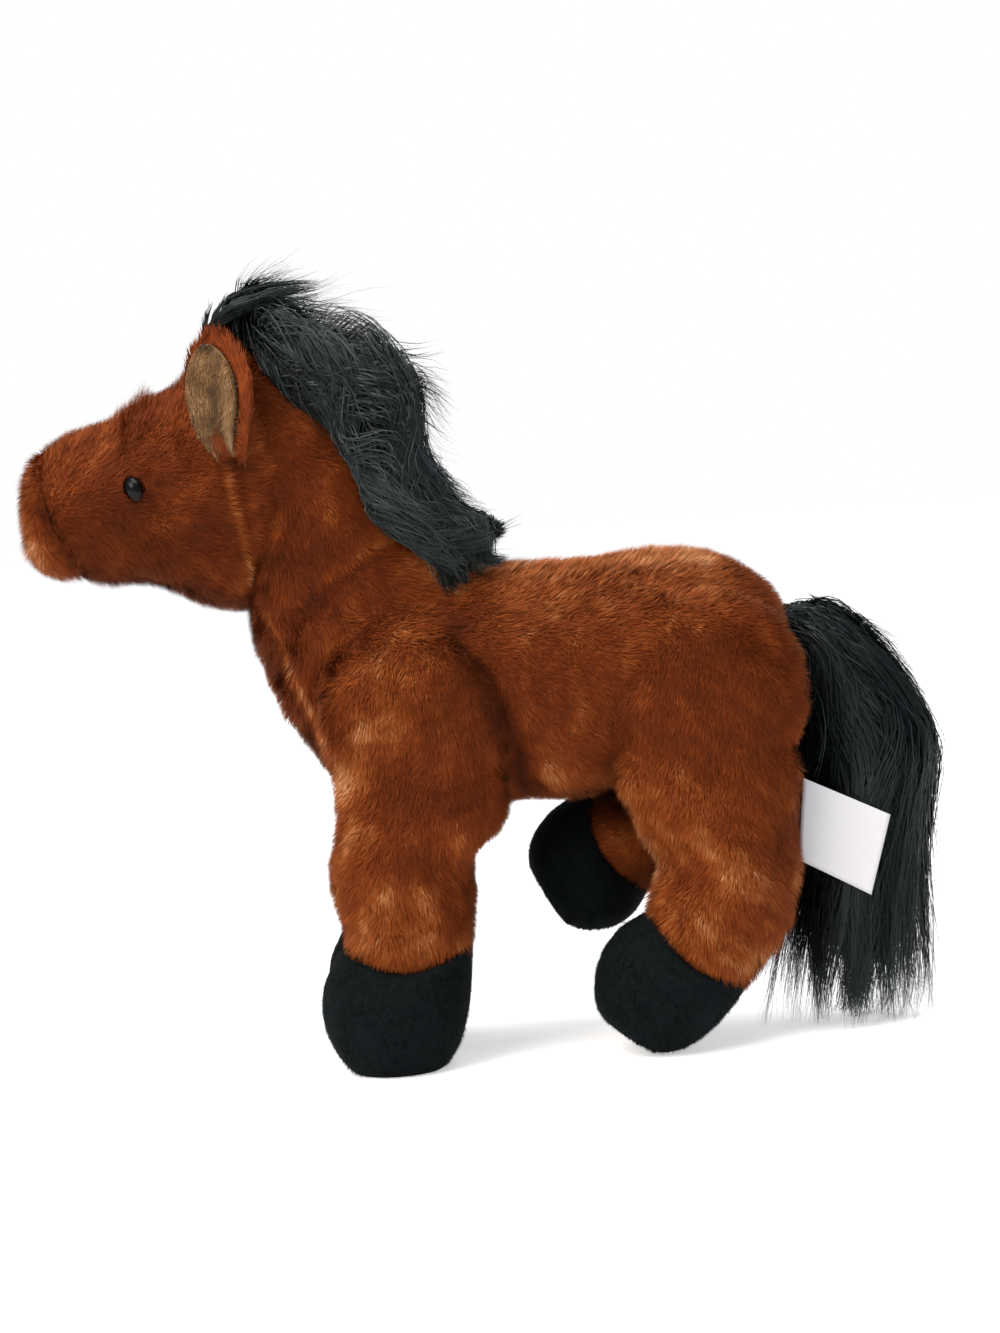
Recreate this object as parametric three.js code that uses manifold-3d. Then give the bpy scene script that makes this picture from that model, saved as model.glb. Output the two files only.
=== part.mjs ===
// A stuffed plush horse that stands on three hooves and lifts its right hind leg.
// Lengths are in millimetres. The nose points to -X, up is +Z and the horse's left side is -Y.
// The origin lies on the floor under the middle of the horse.
import * as THREE from "three";
import { mergeVertices } from "three/addons/utils/BufferGeometryUtils.js";
import Module from "manifold-3d";

const wasm = await Module();
wasm.setup();

const degree = Math.PI / 180;
const rightAngle = 90;

// Fabric and clearances
const coverThickness = 2.6;
const seamGap = 0.3;
const turnGap = 0.45;
const turnAngleGap = 1;
const cutOverrun = 30;
const sliverSize = 0.05;

// How finely the forms are faceted
const bodySides = 18;
const limbSides = 12;
const hiddenSides = 12;
const ballSides = 16;
const ballRings = 6;
const hiddenBallSides = 12;
const hiddenBallRings = 6;

// Body, from the chest to the rump
const bodyFrontX = -54;
const bodyLength = 138;
const bellyHeight = 70;
const bodyDepth = 67;
const bodyWidth = 65;

// Each ring: share of the length, share of the height, angle of the ring, share of the depth, share of the width.
// A ring with no depth is the point that closes an end.
const bodyRingShares = [
  [0, 0.42, 90, 0, 0],
  [0.029, 0.433, 90, 0.358, 0.4],
  [0.087, 0.455, 90, 0.7, 0.708],
  [0.188, 0.485, 90, 0.94, 0.89],
  [0.333, 0.495, 90, 0.993, 0.97],
  [0.522, 0.4975, 90, 0.982, 0.985],
  [0.71, 0.5, 90, 1, 1],
  [0.848, 0.4815, 90, 0.933, 0.94],
  [0.935, 0.4615, 90, 0.763, 0.77],
  [0.982, 0.434, 90, 0.46, 0.48],
  [1, 0.425, 90, 0, 0],
];

// Neck, from inside the shoulders up to the ball that the head turns on
const neckAhead = 16;
const neckFrontX = bodyFrontX - neckAhead;
const neckReach = 60;
const neckRaise = 30;
const neckBaseHeight = bellyHeight + neckRaise;
const neckRise = 72;
const neckDepth = 72.4;
const neckWidth = 54;
const neckRingShares = [
  [0.933, 0.055, 39.4, 0, 0],
  [0.833, 0.153, 39.4, 1, 0.85],
  [0.7125, 0.215, 41.7, 0.934, 1],
  [0.583, 0.375, 45, 0.898, 0.98],
  [0.483, 0.556, 48.8, 0.881, 0.93],
  [0.383, 0.743, 55.8, 0.884, 0.87],
  [0.258, 0.903, 65.2, 0.823, 0.78],
  [0.217, 0.944, 65.2, 0, 0],
];
const nodAlongShare = 0.25;
const nodUpShare = 0.879;
const nodX = neckFrontX + nodAlongShare * neckReach;
const nodHeight = neckBaseHeight + nodUpShare * neckRise;
const neckBallRadius = 33.5;
const neckBallHalfWidth = 21.5;
const nodDownLimit = -15;
const nodUpLimit = 10;
const headSeamLean = 4;
const headSwingRadius = 39;

// Head, from the nose to the seam behind the ears
const headLength = 72.5;
const headDepth = 73;
const headWidth = 53;
const headOverlap = 3;
const noseX = nodX - headLength + headOverlap;
const jawHeight = nodHeight - headDepth / 2;
const headRingShares = [
  [0, 0.438, 90, 0, 0],
  [0.028, 0.438, 90, 0.274, 0.3],
  [0.083, 0.421, 90, 0.459, 0.49],
  [0.193, 0.434, 90, 0.552, 0.62],
  [0.338, 0.44, 90, 0.634, 0.735],
  [0.476, 0.466, 90, 0.712, 0.85],
  [0.614, 0.469, 90, 0.8, 0.945],
  [0.738, 0.497, 90, 0.952, 1],
  [0.834, 0.5, 90, 1, 0.98],
  [0.917, 0.5, 90, 0.918, 0.925],
  [0.931, 0.5, 90, 0, 0],
];
const foreheadStripWidth = 15;
const foreheadStripStartShare = 0.12;
const foreheadStripFloorShare = 0.62;

// Chest and belly strip between the two body panels
const bellyStripWidth = 24;
const bellyStripTopShare = 0.36;
const chestStripTopHeight = 150;
const chestStripBackX = -44;

// Legs
const legSpread = 22;
const hipSpread = 25;
const ballHalfWidth = 12.5;
const legWidth = 34.4;
const thighSweepRadius = 38.5;
const thighSweepInset = 6;
const thighSweepAngle = 65;

// Front legs
const jointRaise = 25;
const shoulderSetBack = 34;
const shoulderX = bodyFrontX + shoulderSetBack;
const shoulderHeight = bellyHeight + jointRaise;
const shoulderBallRadius = 26;
const frontLegDepth = 51;
const frontCuffUpShare = 0.347;
const frontCuffAlongShare = -0.137;
const frontBackLimit = -10;
const frontForwardLimit = 35;
// Each ring: offset from the joint as a share of the depth, share of the joint's height, angle,
// share of the depth, share of the width, share of the way from the hip spread to the leg spread.
const frontLegRingShares = [
  [0, 1.03, 0, 0, 0, 0],
  [-0.02, 0.884, 0, 0.9, 0.62, 0],
  [0.01, 0.79, 0, 0.973, 0.64, -0.1],
  [-0.035, 0.705, 0, 0.935, 0.9, 0.6],
  [-0.137, 0.6, 0, 0.765, 1, 1],
  [-0.125, 0.495, 0, 0.745, 1, 1],
  [-0.11, 0.39, 0, 0.67, 0.96, 1],
  [-0.11, 0.3, 0, 0, 0, 1],
];

// Hind legs
const hipSetBack = 112;
const hipX = bodyFrontX + hipSetBack;
const hipHeight = bellyHeight + jointRaise;
const hipBallRadius = 26;
const hindLegDepth = 53.6;
const hindBackLimit = -12;
const hindForwardLimit = 12;
const standingCuffAlongShare = -0.112;
const standingCuffUpShare = 0.295;
const standingCuffAngle = 37;
const standingLegRingShares = [
  [0, 1.03, 0, 0, 0, 0],
  [-0.013, 0.884, 0, 0.86, 0.62, 0],
  [-0.018, 0.8, 0, 0.98, 0.62, -0.1],
  [0.01, 0.705, 0, 0.91, 0.86, 0.5],
  [0.03, 0.62, 0, 0.802, 1, 1],
  [0.075, 0.53, -3, 0.73, 1, 1],
  [0.03, 0.44, -14, 0.75, 1, 1],
  [-0.05, 0.36, -28, 0.72, 0.98, 1],
  [-0.14, 0.27, -37, 0.6, 0.9, 1],
  [-0.19, 0.22, -37, 0, 0, 1],
];

// The lifted leg has the same thigh, and its lower half is bent forward at the hock
const liftedBackLimit = -30;
const liftedForwardLimit = 3;
const liftedCuffAlongShare = -0.479;
const liftedCuffUpShare = 0.553;
const liftedCuffAngle = 63;
const liftedLegRingShares = [
  [0, 1.03, 0, 0, 0, 0],
  [-0.013, 0.884, 0, 0.86, 0.62, 0],
  [-0.013, 0.8, 0, 0.96, 0.62, -0.1],
  [0.017, 0.728, -11, 0.93, 0.8, 0.4],
  [0.003, 0.657, -25, 0.92, 1, 1],
  [-0.087, 0.604, -41, 0.845, 1, 1],
  [-0.214, 0.577, -56, 0.72, 1, 1],
  [-0.36, 0.563, -68, 0.645, 0.98, 1],
  [-0.478, 0.566, -62, 0.62, 0.94, 1],
  [-0.57, 0.54, -63, 0.56, 0.9, 1],
  [-0.61, 0.527, -63, 0, 0, 1],
];

// Hooves, each built standing on its sole and then turned to its own slope
const frontHoofDiameter = 41.6;
const frontHoofWidth = 38.6;
const floorCut = 0.5;
const frontHoofHeight = frontCuffUpShare * shoulderHeight + floorCut;
const frontHoofForward = 4.5;
const hindHoofDiameter = 38.6;
const hindHoofWidth = 36.4;
const hindHoofHeight = 29.5;
const hindHoofForward = 3;
const liftedHoofHeight = 23.5;
const liftedHoofForward = -2.5;
// Each ring: share of the height above the sole, share of the forward shift, share of the diameter
const hoofRingShares = [
  [0, 1, 0],
  [0, 1, 0.6],
  [0.1, 1, 0.78],
  [0.26, 1, 0.92],
  [0.45, 0.98, 0.99],
  [0.64, 0.85, 1],
  [0.82, 0.5, 0.94],
  [1, 0.05, 0.86],
  [1, 0.05, 0],
];
const soleDiameterShare = 0.56;

// Eyes, each a domed button on a stem, held by a washer inside the head
const eyeAlongShare = 0.459;
const eyeUpShare = 0.482;
const eyeX = noseX + eyeAlongShare * headLength;
const eyeHeight = jawHeight + eyeUpShare * headDepth;
const eyeDiameter = 9;
const eyeDomeHeight = 3.4;
const eyeStemDiameter = 3;
const eyeStemLength = 9;
const eyeSink = 1.6;
const washerDiameter = 10;
const washerThickness = 1.2;
const washerGap = 2;
const stemClearance = 0.35;
const eyeSides = 12;
const eyeDomeRings = 4;

// Ears
const earLength = 35;
const earWidth = 21;
const earThickness = 2;
const liningThickness = 1;
const liningShare = 0.8;
const earAhead = 9;
const earRaise = 4.4;
const earStandOff = 2.5;
const earX = nodX - earAhead;
const earBaseHeight = nodHeight + earRaise;
const earBaseY = headWidth / 2 + earStandOff;
const earTurn = 20;
const earLean = 4;
const earTipTurn = -6;
// The leaf's outline: shares of its half width and of its length
const earRootShare = 0.3;
const earLowPullShares = [0.9, 0.2];
const earHighPullShares = [1.25, 0.6];
const earShoulderShares = [0.55, 0.88];
const earTipPullShare = 1.1;
const earCurveSegments = 5;

// Mane, forelock and tail: long pile sewn to the crest, the poll and the rump
const maneAhead = 11;
const maneFrontX = nodX - maneAhead;
const maneReach = 74;
const maneRaise = 28;
const maneBaseHeight = neckBaseHeight + maneRaise;
const maneRise = 90;
const maneDepth = 34;
const maneWidth = 34;
const maneRingShares = [
  [0.03, 0.83, 100, 0, 0],
  [0.061, 0.85, 100, 0.508, 0.5],
  [0.155, 0.817, 88, 0.91, 0.8],
  [0.324, 0.733, 76, 0.969, 0.92],
  [0.482, 0.656, 63, 0.995, 1],
  [0.582, 0.528, 51, 0.948, 1],
  [0.649, 0.339, 32, 0.836, 1],
  [0.73, 0.211, 24, 0.709, 0.92],
  [0.841, 0.106, 28, 0.683, 0.8],
  [0.865, 0.03, 28, 0, 0],
];
const forelockAhead = 21;
const forelockFrontX = nodX - forelockAhead;
const forelockReach = 18;
const forelockRaise = 29.7;
const forelockBaseHeight = nodHeight + forelockRaise;
const forelockRise = 22;
const forelockDepth = 16;
const forelockWidth = 20;
const forelockRingShares = [
  [0, 0.12, 60, 0, 0],
  [0.1, 0.2, 75, 0.44, 0.5],
  [0.33, 0.36, 90, 0.825, 0.9],
  [0.6, 0.55, 100, 1, 1],
  [0.88, 0.72, 110, 0.825, 0.8],
  [1, 0.95, 110, 0, 0],
];
const tailOverlap = 5;
const tailFrontX = bodyFrontX + bodyLength - tailOverlap;
const tailReach = 45.5;
const tailBottom = 3;
const tailRootUpShare = 0.746;
const tailLength = bellyHeight + tailRootUpShare * bodyDepth - tailBottom;
const tailDepth = 33;
const tailWidth = 23;
const tailRingShares = [
  [0.02, 0.975, 0, 0, 0],
  [0.2, 0.968, 40, 0.39, 0.62],
  [0.37, 0.87, 31, 0.61, 0.88],
  [0.5, 0.74, 19, 0.835, 1],
  [0.61, 0.617, 12, 1, 1],
  [0.6, 0.47, 8, 0.925, 0.96],
  [0.575, 0.325, 4, 0.81, 0.9],
  [0.55, 0.19, 2, 0.715, 0.84],
  [0.53, 0.065, 0, 0.585, 0.7],
  [0.53, 0, 0, 0, 0],
];

// Sewn-in label at the back seam of the left thigh
const labelWidth = 26;
const labelHeight = 22.5;
const labelThickness = 0.7;
const labelSetBack = 25.3;
const labelDrop = 23.5;
const labelInset = 5;
const labelX = hipX + labelSetBack;
const labelTopHeight = hipHeight - labelDrop;
const labelDroop = 27;
const labelSeamLean = 6.5;
const labelFreeLean = 17;

// Materials
const fabric = (color, roughness) => new THREE.MeshStandardMaterial({ color, roughness, metalness: 0 });
const chestnutPlush = fabric(0x86401f, 0.85);
const blackVelour = fabric(0x1d2022, 0.9);
const blackPile = fabric(0x191c1f, 0.7);
const tanPlush = fabric(0x8a6440, 0.85);
const whiteFill = fabric(0xe9e7e0, 0.95);
const bagCloth = fabric(0xcfcabd, 0.9);
const whiteSatin = fabric(0xe8e8ec, 0.5);
const eyePlastic = new THREE.MeshStandardMaterial({ color: 0x0b0a0a, roughness: 0.1, metalness: 0 });
const washerPlastic = new THREE.MeshStandardMaterial({ color: 0xdedede, roughness: 0.5, metalness: 0 });

// Solids: a closed geometry becomes a solid that can be joined and cut
function solid(geometry) {
  const bare = geometry.clone();
  bare.deleteAttribute("normal");
  bare.deleteAttribute("uv");
  const merged = mergeVertices(bare);
  const vertProperties = new Float32Array(merged.getAttribute("position").array);
  const triVerts = new Uint32Array(merged.getIndex().array);
  return new wasm.Manifold(new wasm.Mesh({ numProp: 3, vertProperties, triVerts }));
}

function geometryOf(manifold) {
  const mesh = manifold.getMesh();
  const geometry = new THREE.BufferGeometry();
  geometry.setAttribute("position", new THREE.BufferAttribute(new Float32Array(mesh.vertProperties), 3));
  geometry.setIndex(new THREE.BufferAttribute(new Uint32Array(mesh.triVerts), 1));
  return geometry;
}

// A cut can leave crumbs and slivers, so a piece keeps its largest body and loses edges that are too short
function largestBody(manifold) {
  const bodies = manifold.simplify(sliverSize).decompose();
  return bodies.reduce((best, body) => (body.volume() > best.volume() ? body : best));
}

const joined = (solids) => solids.reduce((sum, next) => sum.add(next));

// A stuffed form: rings that swell and taper along a limb, closed at both ends by a point.
// ring = { x, y, z, angle, halfDepth, halfWidth }, its depth lying in the X-Z plane at its angle.
function stuffedForm(rings, sides) {
  const positions = [];
  const triangles = [];
  const first = rings[0];
  const last = rings[rings.length - 1];
  const inner = rings.slice(1, -1);
  positions.push(first.x, first.y, first.z);
  for (const ring of inner) {
    for (let side = 0; side < sides; side += 1) {
      const around = (2 * Math.PI * side) / sides;
      const out = ring.halfDepth * Math.cos(around);
      positions.push(
        ring.x + out * Math.cos(ring.angle * degree),
        ring.y + ring.halfWidth * Math.sin(around),
        ring.z + out * Math.sin(ring.angle * degree),
      );
    }
  }
  positions.push(last.x, last.y, last.z);
  const at = (row, side) => 1 + row * sides + (side % sides);
  const end = 1 + inner.length * sides;
  for (let side = 0; side < sides; side += 1) {
    triangles.push(0, at(0, side), at(0, side + 1));
    for (let row = 0; row < inner.length - 1; row += 1) {
      triangles.push(at(row, side), at(row + 1, side), at(row + 1, side + 1));
      triangles.push(at(row, side), at(row + 1, side + 1), at(row, side + 1));
    }
    triangles.push(at(inner.length - 1, side), end, at(inner.length - 1, side + 1));
  }
  const geometry = new THREE.BufferGeometry();
  geometry.setAttribute("position", new THREE.Float32BufferAttribute(positions, 3));
  geometry.setIndex(triangles);
  return facingOut(geometry);
}

// Turns the faces over if they enclose a negative volume
function facingOut(geometry) {
  const position = geometry.getAttribute("position");
  const index = geometry.getIndex();
  const corner = [new THREE.Vector3(), new THREE.Vector3(), new THREE.Vector3()];
  let volume = 0;
  for (let start = 0; start < index.count; start += 3) {
    corner.forEach((point, step) => point.fromBufferAttribute(position, index.getX(start + step)));
    volume += corner[0].dot(corner[1].clone().cross(corner[2]));
  }
  if (volume < 0) {
    for (let start = 0; start < index.count; start += 3) {
      const second = index.getX(start + 1);
      index.setX(start + 1, index.getX(start + 2));
      index.setX(start + 2, second);
    }
  }
  return geometry;
}

// Lathe faces may point inward after a turn, so they are merged and checked
function facingOutIndexed(geometry) {
  const bare = geometry.clone();
  bare.deleteAttribute("normal");
  bare.deleteAttribute("uv");
  return facingOut(mergeVertices(bare));
}

// Makes a form larger or smaller all round by the same amount
function resized(geometry, amount) {
  const copy = geometry.clone();
  copy.computeBoundingBox();
  const size = copy.boundingBox.getSize(new THREE.Vector3());
  const middle = copy.boundingBox.getCenter(new THREE.Vector3());
  const stretch = (length) => (length + 2 * amount) / length;
  copy.translate(-middle.x, -middle.y, -middle.z);
  copy.scale(stretch(size.x), stretch(size.y), stretch(size.z));
  copy.translate(middle.x, middle.y, middle.z);
  return copy;
}

// A ball that stays the same when it turns about its own axis along Y. A larger one is the room
// that a ball turns in, so its facets lie outside the ball's corners.
function turningBall(x, y, z, radius, halfWidth, extra, hidden) {
  const sides = hidden ? hiddenBallSides : ballSides;
  const rows = hidden ? hiddenBallRings : ballRings;
  const outer = (radius + extra) / (extra > 0 ? Math.cos(Math.PI / sides) : 1);
  const ball = new THREE.SphereGeometry(1, sides, rows);
  ball.scale(outer, halfWidth + extra, outer);
  ball.translate(x, y, z);
  return ball;
}

function box(lowX, highX, lowY, highY, lowZ, highZ) {
  const geometry = new THREE.BoxGeometry(highX - lowX, highY - lowY, highZ - lowZ);
  geometry.translate((lowX + highX) / 2, (lowY + highY) / 2, (lowZ + highZ) / 2);
  return geometry;
}

// Everything on the far side of a plane through (x, z), whose normal in the X-Z plane is at an angle
function beyondPlane(x, z, normalAngle) {
  const reach = 2 * bodyLength;
  const geometry = new THREE.BoxGeometry(reach, reach, reach);
  geometry.translate(reach / 2, 0, 0);
  geometry.rotateY(-normalAngle * degree);
  geometry.translate(x, 0, z);
  return solid(geometry);
}

const horse = new THREE.Group();

function addMesh(name, geometry, material) {
  const mesh = new THREE.Mesh(geometry, material);
  mesh.name = name;
  horse.add(mesh);
}

function addSolid(name, manifold, material) {
  addMesh(name, geometryOf(largestBody(manifold)), material);
}

const sideNames = new Map([
  [-1, "left"],
  [1, "right"],
]);

// Body, neck and head forms, finer where they show and coarser where they are hidden
function trunkForm(ringShares, frontX, reach, baseHeight, rise, depthUnit, width, sides, extra = 0) {
  return stuffedForm(
    ringShares.map(([along, up, angle, depthShare, widthShare]) => ({
      x: frontX + along * reach,
      y: 0,
      z: baseHeight + up * rise,
      angle,
      halfDepth: (depthShare * depthUnit) / 2 + extra,
      halfWidth: (widthShare * width) / 2 + extra,
    })),
    sides,
  );
}

const bodyForm = (sides) =>
  trunkForm(bodyRingShares, bodyFrontX, bodyLength, bellyHeight, bodyDepth, bodyDepth, bodyWidth, sides);
const neckForm = (sides, extra) =>
  trunkForm(
    neckRingShares,
    neckFrontX,
    neckReach,
    neckBaseHeight,
    neckRise,
    neckDepth,
    neckWidth,
    sides,
    extra,
  );
const headForm = (sides) =>
  trunkForm(headRingShares, noseX, headLength, jawHeight, headDepth, headDepth, headWidth, sides);
const neckBall = (extra, hidden) =>
  solid(turningBall(nodX, 0, nodHeight, neckBallRadius, neckBallHalfWidth, extra, hidden));

// The head ends at two planes through the joint, and the neck starts far enough behind them to let it nod
const headRoom = beyondPlane(nodX, nodHeight, 180 - headSeamLean).intersect(
  beyondPlane(nodX, nodHeight, 180 + headSeamLean),
);
const behindUpperPlane = (extra) =>
  beyondPlane(nodX + extra, nodHeight, headSeamLean - nodUpLimit - turnAngleGap);
function headSwing(extra) {
  const radius = headSwingRadius + extra;
  const disc = new THREE.CylinderGeometry(radius, radius, 2 * bodyWidth, 2 * ballSides);
  disc.translate(nodX, 0, nodHeight);
  const lower = beyondPlane(nodX + extra, nodHeight, -headSeamLean - nodDownLimit + turnAngleGap);
  return solid(disc).subtract(behindUpperPlane(extra).intersect(lower));
}
const trunkSolid = (extra, sides) =>
  solid(resized(bodyForm(sides), extra)).add(solid(neckForm(sides, extra)).subtract(headSwing(-extra)));

// Legs: rings as shares of the joint's place and of the leg's own depth and width
function legForm(leg, sides, extra) {
  return stuffedForm(
    leg.ringShares.map(([along, up, angle, depthShare, widthShare, inward]) => ({
      x: leg.jointX + along * leg.depth,
      y: leg.side * (hipSpread + inward * (legSpread - hipSpread)),
      z: up * leg.jointHeight,
      angle,
      halfDepth: (depthShare * leg.depth) / 2 + extra,
      halfWidth: (widthShare * legWidth) / 2 + extra,
    })),
    sides,
  );
}

// A hoof form on its cuff: the sole's middle lies one hoof height from the cuff along the hoof's slope
function hoofForm(leg, sides) {
  const form = stuffedForm(
    hoofRingShares.map(([up, shift, girth]) => ({
      x: -shift * leg.hoofForward,
      y: 0,
      z: (up - 1) * leg.hoofHeight,
      angle: 0,
      halfDepth: (girth * leg.hoofDiameter) / 2,
      halfWidth: (girth * leg.hoofWidth) / 2,
    })),
    sides,
  );
  return ontoCuff(form, leg);
}

function ontoCuff(geometry, leg) {
  geometry.rotateY(leg.cuffAngle * degree);
  geometry.translate(leg.cuffX, leg.side * legSpread, leg.cuffHeight);
  return geometry;
}

const legs = [];
for (const [side, sideName] of sideNames) {
  legs.push({
    name: `front_${sideName}`,
    side,
    jointX: shoulderX,
    jointHeight: shoulderHeight,
    ballRadius: shoulderBallRadius,
    ringShares: frontLegRingShares,
    depth: frontLegDepth,
    cuffX: shoulderX + frontCuffAlongShare * frontLegDepth,
    cuffHeight: frontCuffUpShare * shoulderHeight,
    cuffAngle: 0,
    hoofDiameter: frontHoofDiameter,
    hoofWidth: frontHoofWidth,
    hoofHeight: frontHoofHeight,
    hoofForward: frontHoofForward,
    lowest: frontBackLimit,
    highest: frontForwardLimit,
  });
}
legs.push({
  name: "hind_left",
  side: -1,
  jointX: hipX,
  jointHeight: hipHeight,
  ballRadius: hipBallRadius,
  ringShares: standingLegRingShares,
  depth: hindLegDepth,
  cuffX: hipX + standingCuffAlongShare * hindLegDepth,
  cuffHeight: standingCuffUpShare * hipHeight,
  cuffAngle: standingCuffAngle,
  hoofDiameter: hindHoofDiameter,
  hoofWidth: hindHoofWidth,
  hoofHeight: hindHoofHeight,
  hoofForward: hindHoofForward,
  lowest: hindBackLimit,
  highest: hindForwardLimit,
});
legs.push({
  name: "hind_right",
  side: 1,
  jointX: hipX,
  jointHeight: hipHeight,
  ballRadius: hipBallRadius,
  ringShares: liftedLegRingShares,
  depth: hindLegDepth,
  cuffX: hipX + liftedCuffAlongShare * hindLegDepth,
  cuffHeight: liftedCuffUpShare * hipHeight,
  cuffAngle: liftedCuffAngle,
  hoofDiameter: hindHoofDiameter,
  hoofWidth: hindHoofWidth,
  hoofHeight: liftedHoofHeight,
  hoofForward: liftedHoofForward,
  lowest: liftedBackLimit,
  highest: liftedForwardLimit,
});

const legBall = (leg, extra, hidden) => {
  const y = leg.side * hipSpread;
  return solid(turningBall(leg.jointX, y, leg.jointHeight, leg.ballRadius, ballHalfWidth, extra, hidden));
};

// A leg's whole form, larger or smaller by an amount, with the ball that turns in the body
function legSolid(leg, extra, hidden) {
  const form = legForm(leg, hidden ? hiddenSides : limbSides, extra);
  return solid(form).add(legBall(leg, extra, hidden));
}

const belowFloor = solid(
  box(bodyFrontX - bodyLength, 2 * bodyLength, -bodyLength, bodyLength, -bodyLength, 0),
);

// The room that a leg swings in: its ball, and a fan below the joint that is as wide as the thigh's swing
function legRoom(leg) {
  const inner = hipSpread - ballHalfWidth - turnGap;
  const profile = [
    new THREE.Vector2(0, inner),
    new THREE.Vector2(leg.ballRadius, inner),
    new THREE.Vector2(thighSweepRadius, inner - thighSweepInset),
    new THREE.Vector2(thighSweepRadius, bodyWidth),
    new THREE.Vector2(0, bodyWidth),
  ];
  const fan = new THREE.LatheGeometry(profile, ballSides);
  if (leg.side < 0) fan.rotateZ(Math.PI);
  fan.translate(leg.jointX, 0, leg.jointHeight);
  const down = -rightAngle;
  const forwardEdge = down - thighSweepAngle - leg.highest;
  const backEdge = down + thighSweepAngle - leg.lowest;
  return solid(facingOutIndexed(fan))
    .intersect(beyondPlane(leg.jointX, leg.jointHeight, forwardEdge + rightAngle))
    .intersect(beyondPlane(leg.jointX, leg.jointHeight, backEdge - rightAngle))
    .add(legBall(leg, turnGap, false));
}

const legRooms = joined(legs.map(legRoom));

// Body cover: two side panels that run up the neck, and one strip down the throat, chest and belly
const bodyCover = trunkSolid(0, bodySides)
  .add(neckBall(0, false))
  .subtract(trunkSolid(-coverThickness, hiddenSides).add(neckBall(-coverThickness, true)))
  .subtract(legRooms);
const bellyStripTop = bellyHeight + bellyStripTopShare * bodyDepth;
const stripRoom = (extra) => {
  const half = bellyStripWidth / 2 + extra;
  const belly = box(bodyFrontX, bodyFrontX + bodyLength, -half, half, 0, bellyStripTop + extra);
  const chest = box(neckFrontX, chestStripBackX + extra, -half, half, 0, chestStripTopHeight + extra);
  return solid(belly).add(solid(chest));
};
const panelRoom = (side) => {
  const near = seamGap / 2;
  const low = side < 0 ? -bodyWidth : near;
  const high = side < 0 ? -near : bodyWidth;
  const back = bodyFrontX + bodyLength + cutOverrun;
  return solid(box(noseX - cutOverrun, back, low, high, 0, 2 * bodyLength));
};
for (const [side, sideName] of sideNames) {
  const panel = bodyCover.subtract(stripRoom(seamGap)).intersect(panelRoom(side));
  addSolid(`body_panel_${sideName}`, panel, chestnutPlush);
}
addSolid("chest_belly_strip", bodyCover.intersect(stripRoom(0)), chestnutPlush);
addSolid(
  "body_stuffing",
  trunkSolid(-coverThickness - seamGap, hiddenSides)
    .add(neckBall(-coverThickness - seamGap, true))
    .subtract(legRooms),
  whiteFill,
);

// Eyes: a domed button whose stem goes through the panel, and a washer pressed onto the stem inside
function eyeProfile() {
  const radius = eyeDiameter / 2;
  const stem = eyeStemDiameter / 2;
  const points = [new THREE.Vector2(0, -eyeStemLength), new THREE.Vector2(stem, -eyeStemLength)];
  points.push(new THREE.Vector2(stem, 0), new THREE.Vector2(radius, 0));
  for (let step = 1; step < eyeDomeRings; step += 1) {
    const turn = (Math.PI / 2) * (step / eyeDomeRings);
    points.push(new THREE.Vector2(radius * Math.cos(turn), eyeDomeHeight * Math.sin(turn)));
  }
  points.push(new THREE.Vector2(0, eyeDomeHeight));
  return points;
}

function washerProfile() {
  const inner = eyeStemDiameter / 2 + stemClearance;
  const outer = washerDiameter / 2;
  return [
    new THREE.Vector2(inner, 0),
    new THREE.Vector2(outer, 0),
    new THREE.Vector2(outer, washerThickness),
    new THREE.Vector2(inner, washerThickness),
    new THREE.Vector2(inner, 0),
  ];
}

// The head's half width at the height of the eye sets how far out the eye sits
const eyeSurfaceY = (headWidth / 2) * eyeSurfaceShare();
function eyeSurfaceShare() {
  const along = (eyeX - noseX) / headLength;
  const after = headRingShares.findIndex((ring) => ring[0] > along);
  const before = headRingShares[after - 1];
  const next = headRingShares[after];
  const blend = (along - before[0]) / (next[0] - before[0]);
  return before[4] + blend * (next[4] - before[4]);
}

// Turns a profile's axis from +Y to the side of the head
function sideways(geometry, side, x, y, z) {
  if (side < 0) geometry.rotateZ(Math.PI);
  geometry.translate(x, side * y, z);
  return geometry;
}

const eyeBase = eyeSurfaceY - eyeSink + seamGap;
const eyePockets = [];
const washerPockets = [];
for (const [side, sideName] of sideNames) {
  const eye = sideways(new THREE.LatheGeometry(eyeProfile(), eyeSides), side, eyeX, eyeBase, eyeHeight);
  addMesh(`eye_${sideName}`, facingOutIndexed(eye), eyePlastic);
  const washerSeat = eyeSurfaceY - coverThickness - washerGap - washerThickness;
  const washer = sideways(
    new THREE.LatheGeometry(washerProfile(), eyeSides),
    side,
    eyeX,
    washerSeat,
    eyeHeight,
  );
  addMesh(`eye_washer_${sideName}`, facingOutIndexed(washer), washerPlastic);
  eyePockets.push(buttonRoom(side, eyeDiameter + 2 * seamGap, eyeBase - seamGap, eyeSurfaceY + cutOverrun));
  eyePockets.push(buttonRoom(side, eyeStemDiameter + 2 * stemClearance, 0, eyeSurfaceY));
  washerPockets.push(
    buttonRoom(
      side,
      washerDiameter + 2 * seamGap,
      eyeBase - eyeStemLength - seamGap,
      eyeSurfaceY + cutOverrun,
    ),
  );
}

function buttonRoom(side, diameter, from, to) {
  const room = new THREE.CylinderGeometry(diameter / 2, diameter / 2, to - from, eyeSides);
  room.translate(eyeX, (side * (from + to)) / 2, eyeHeight);
  return solid(room);
}

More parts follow.
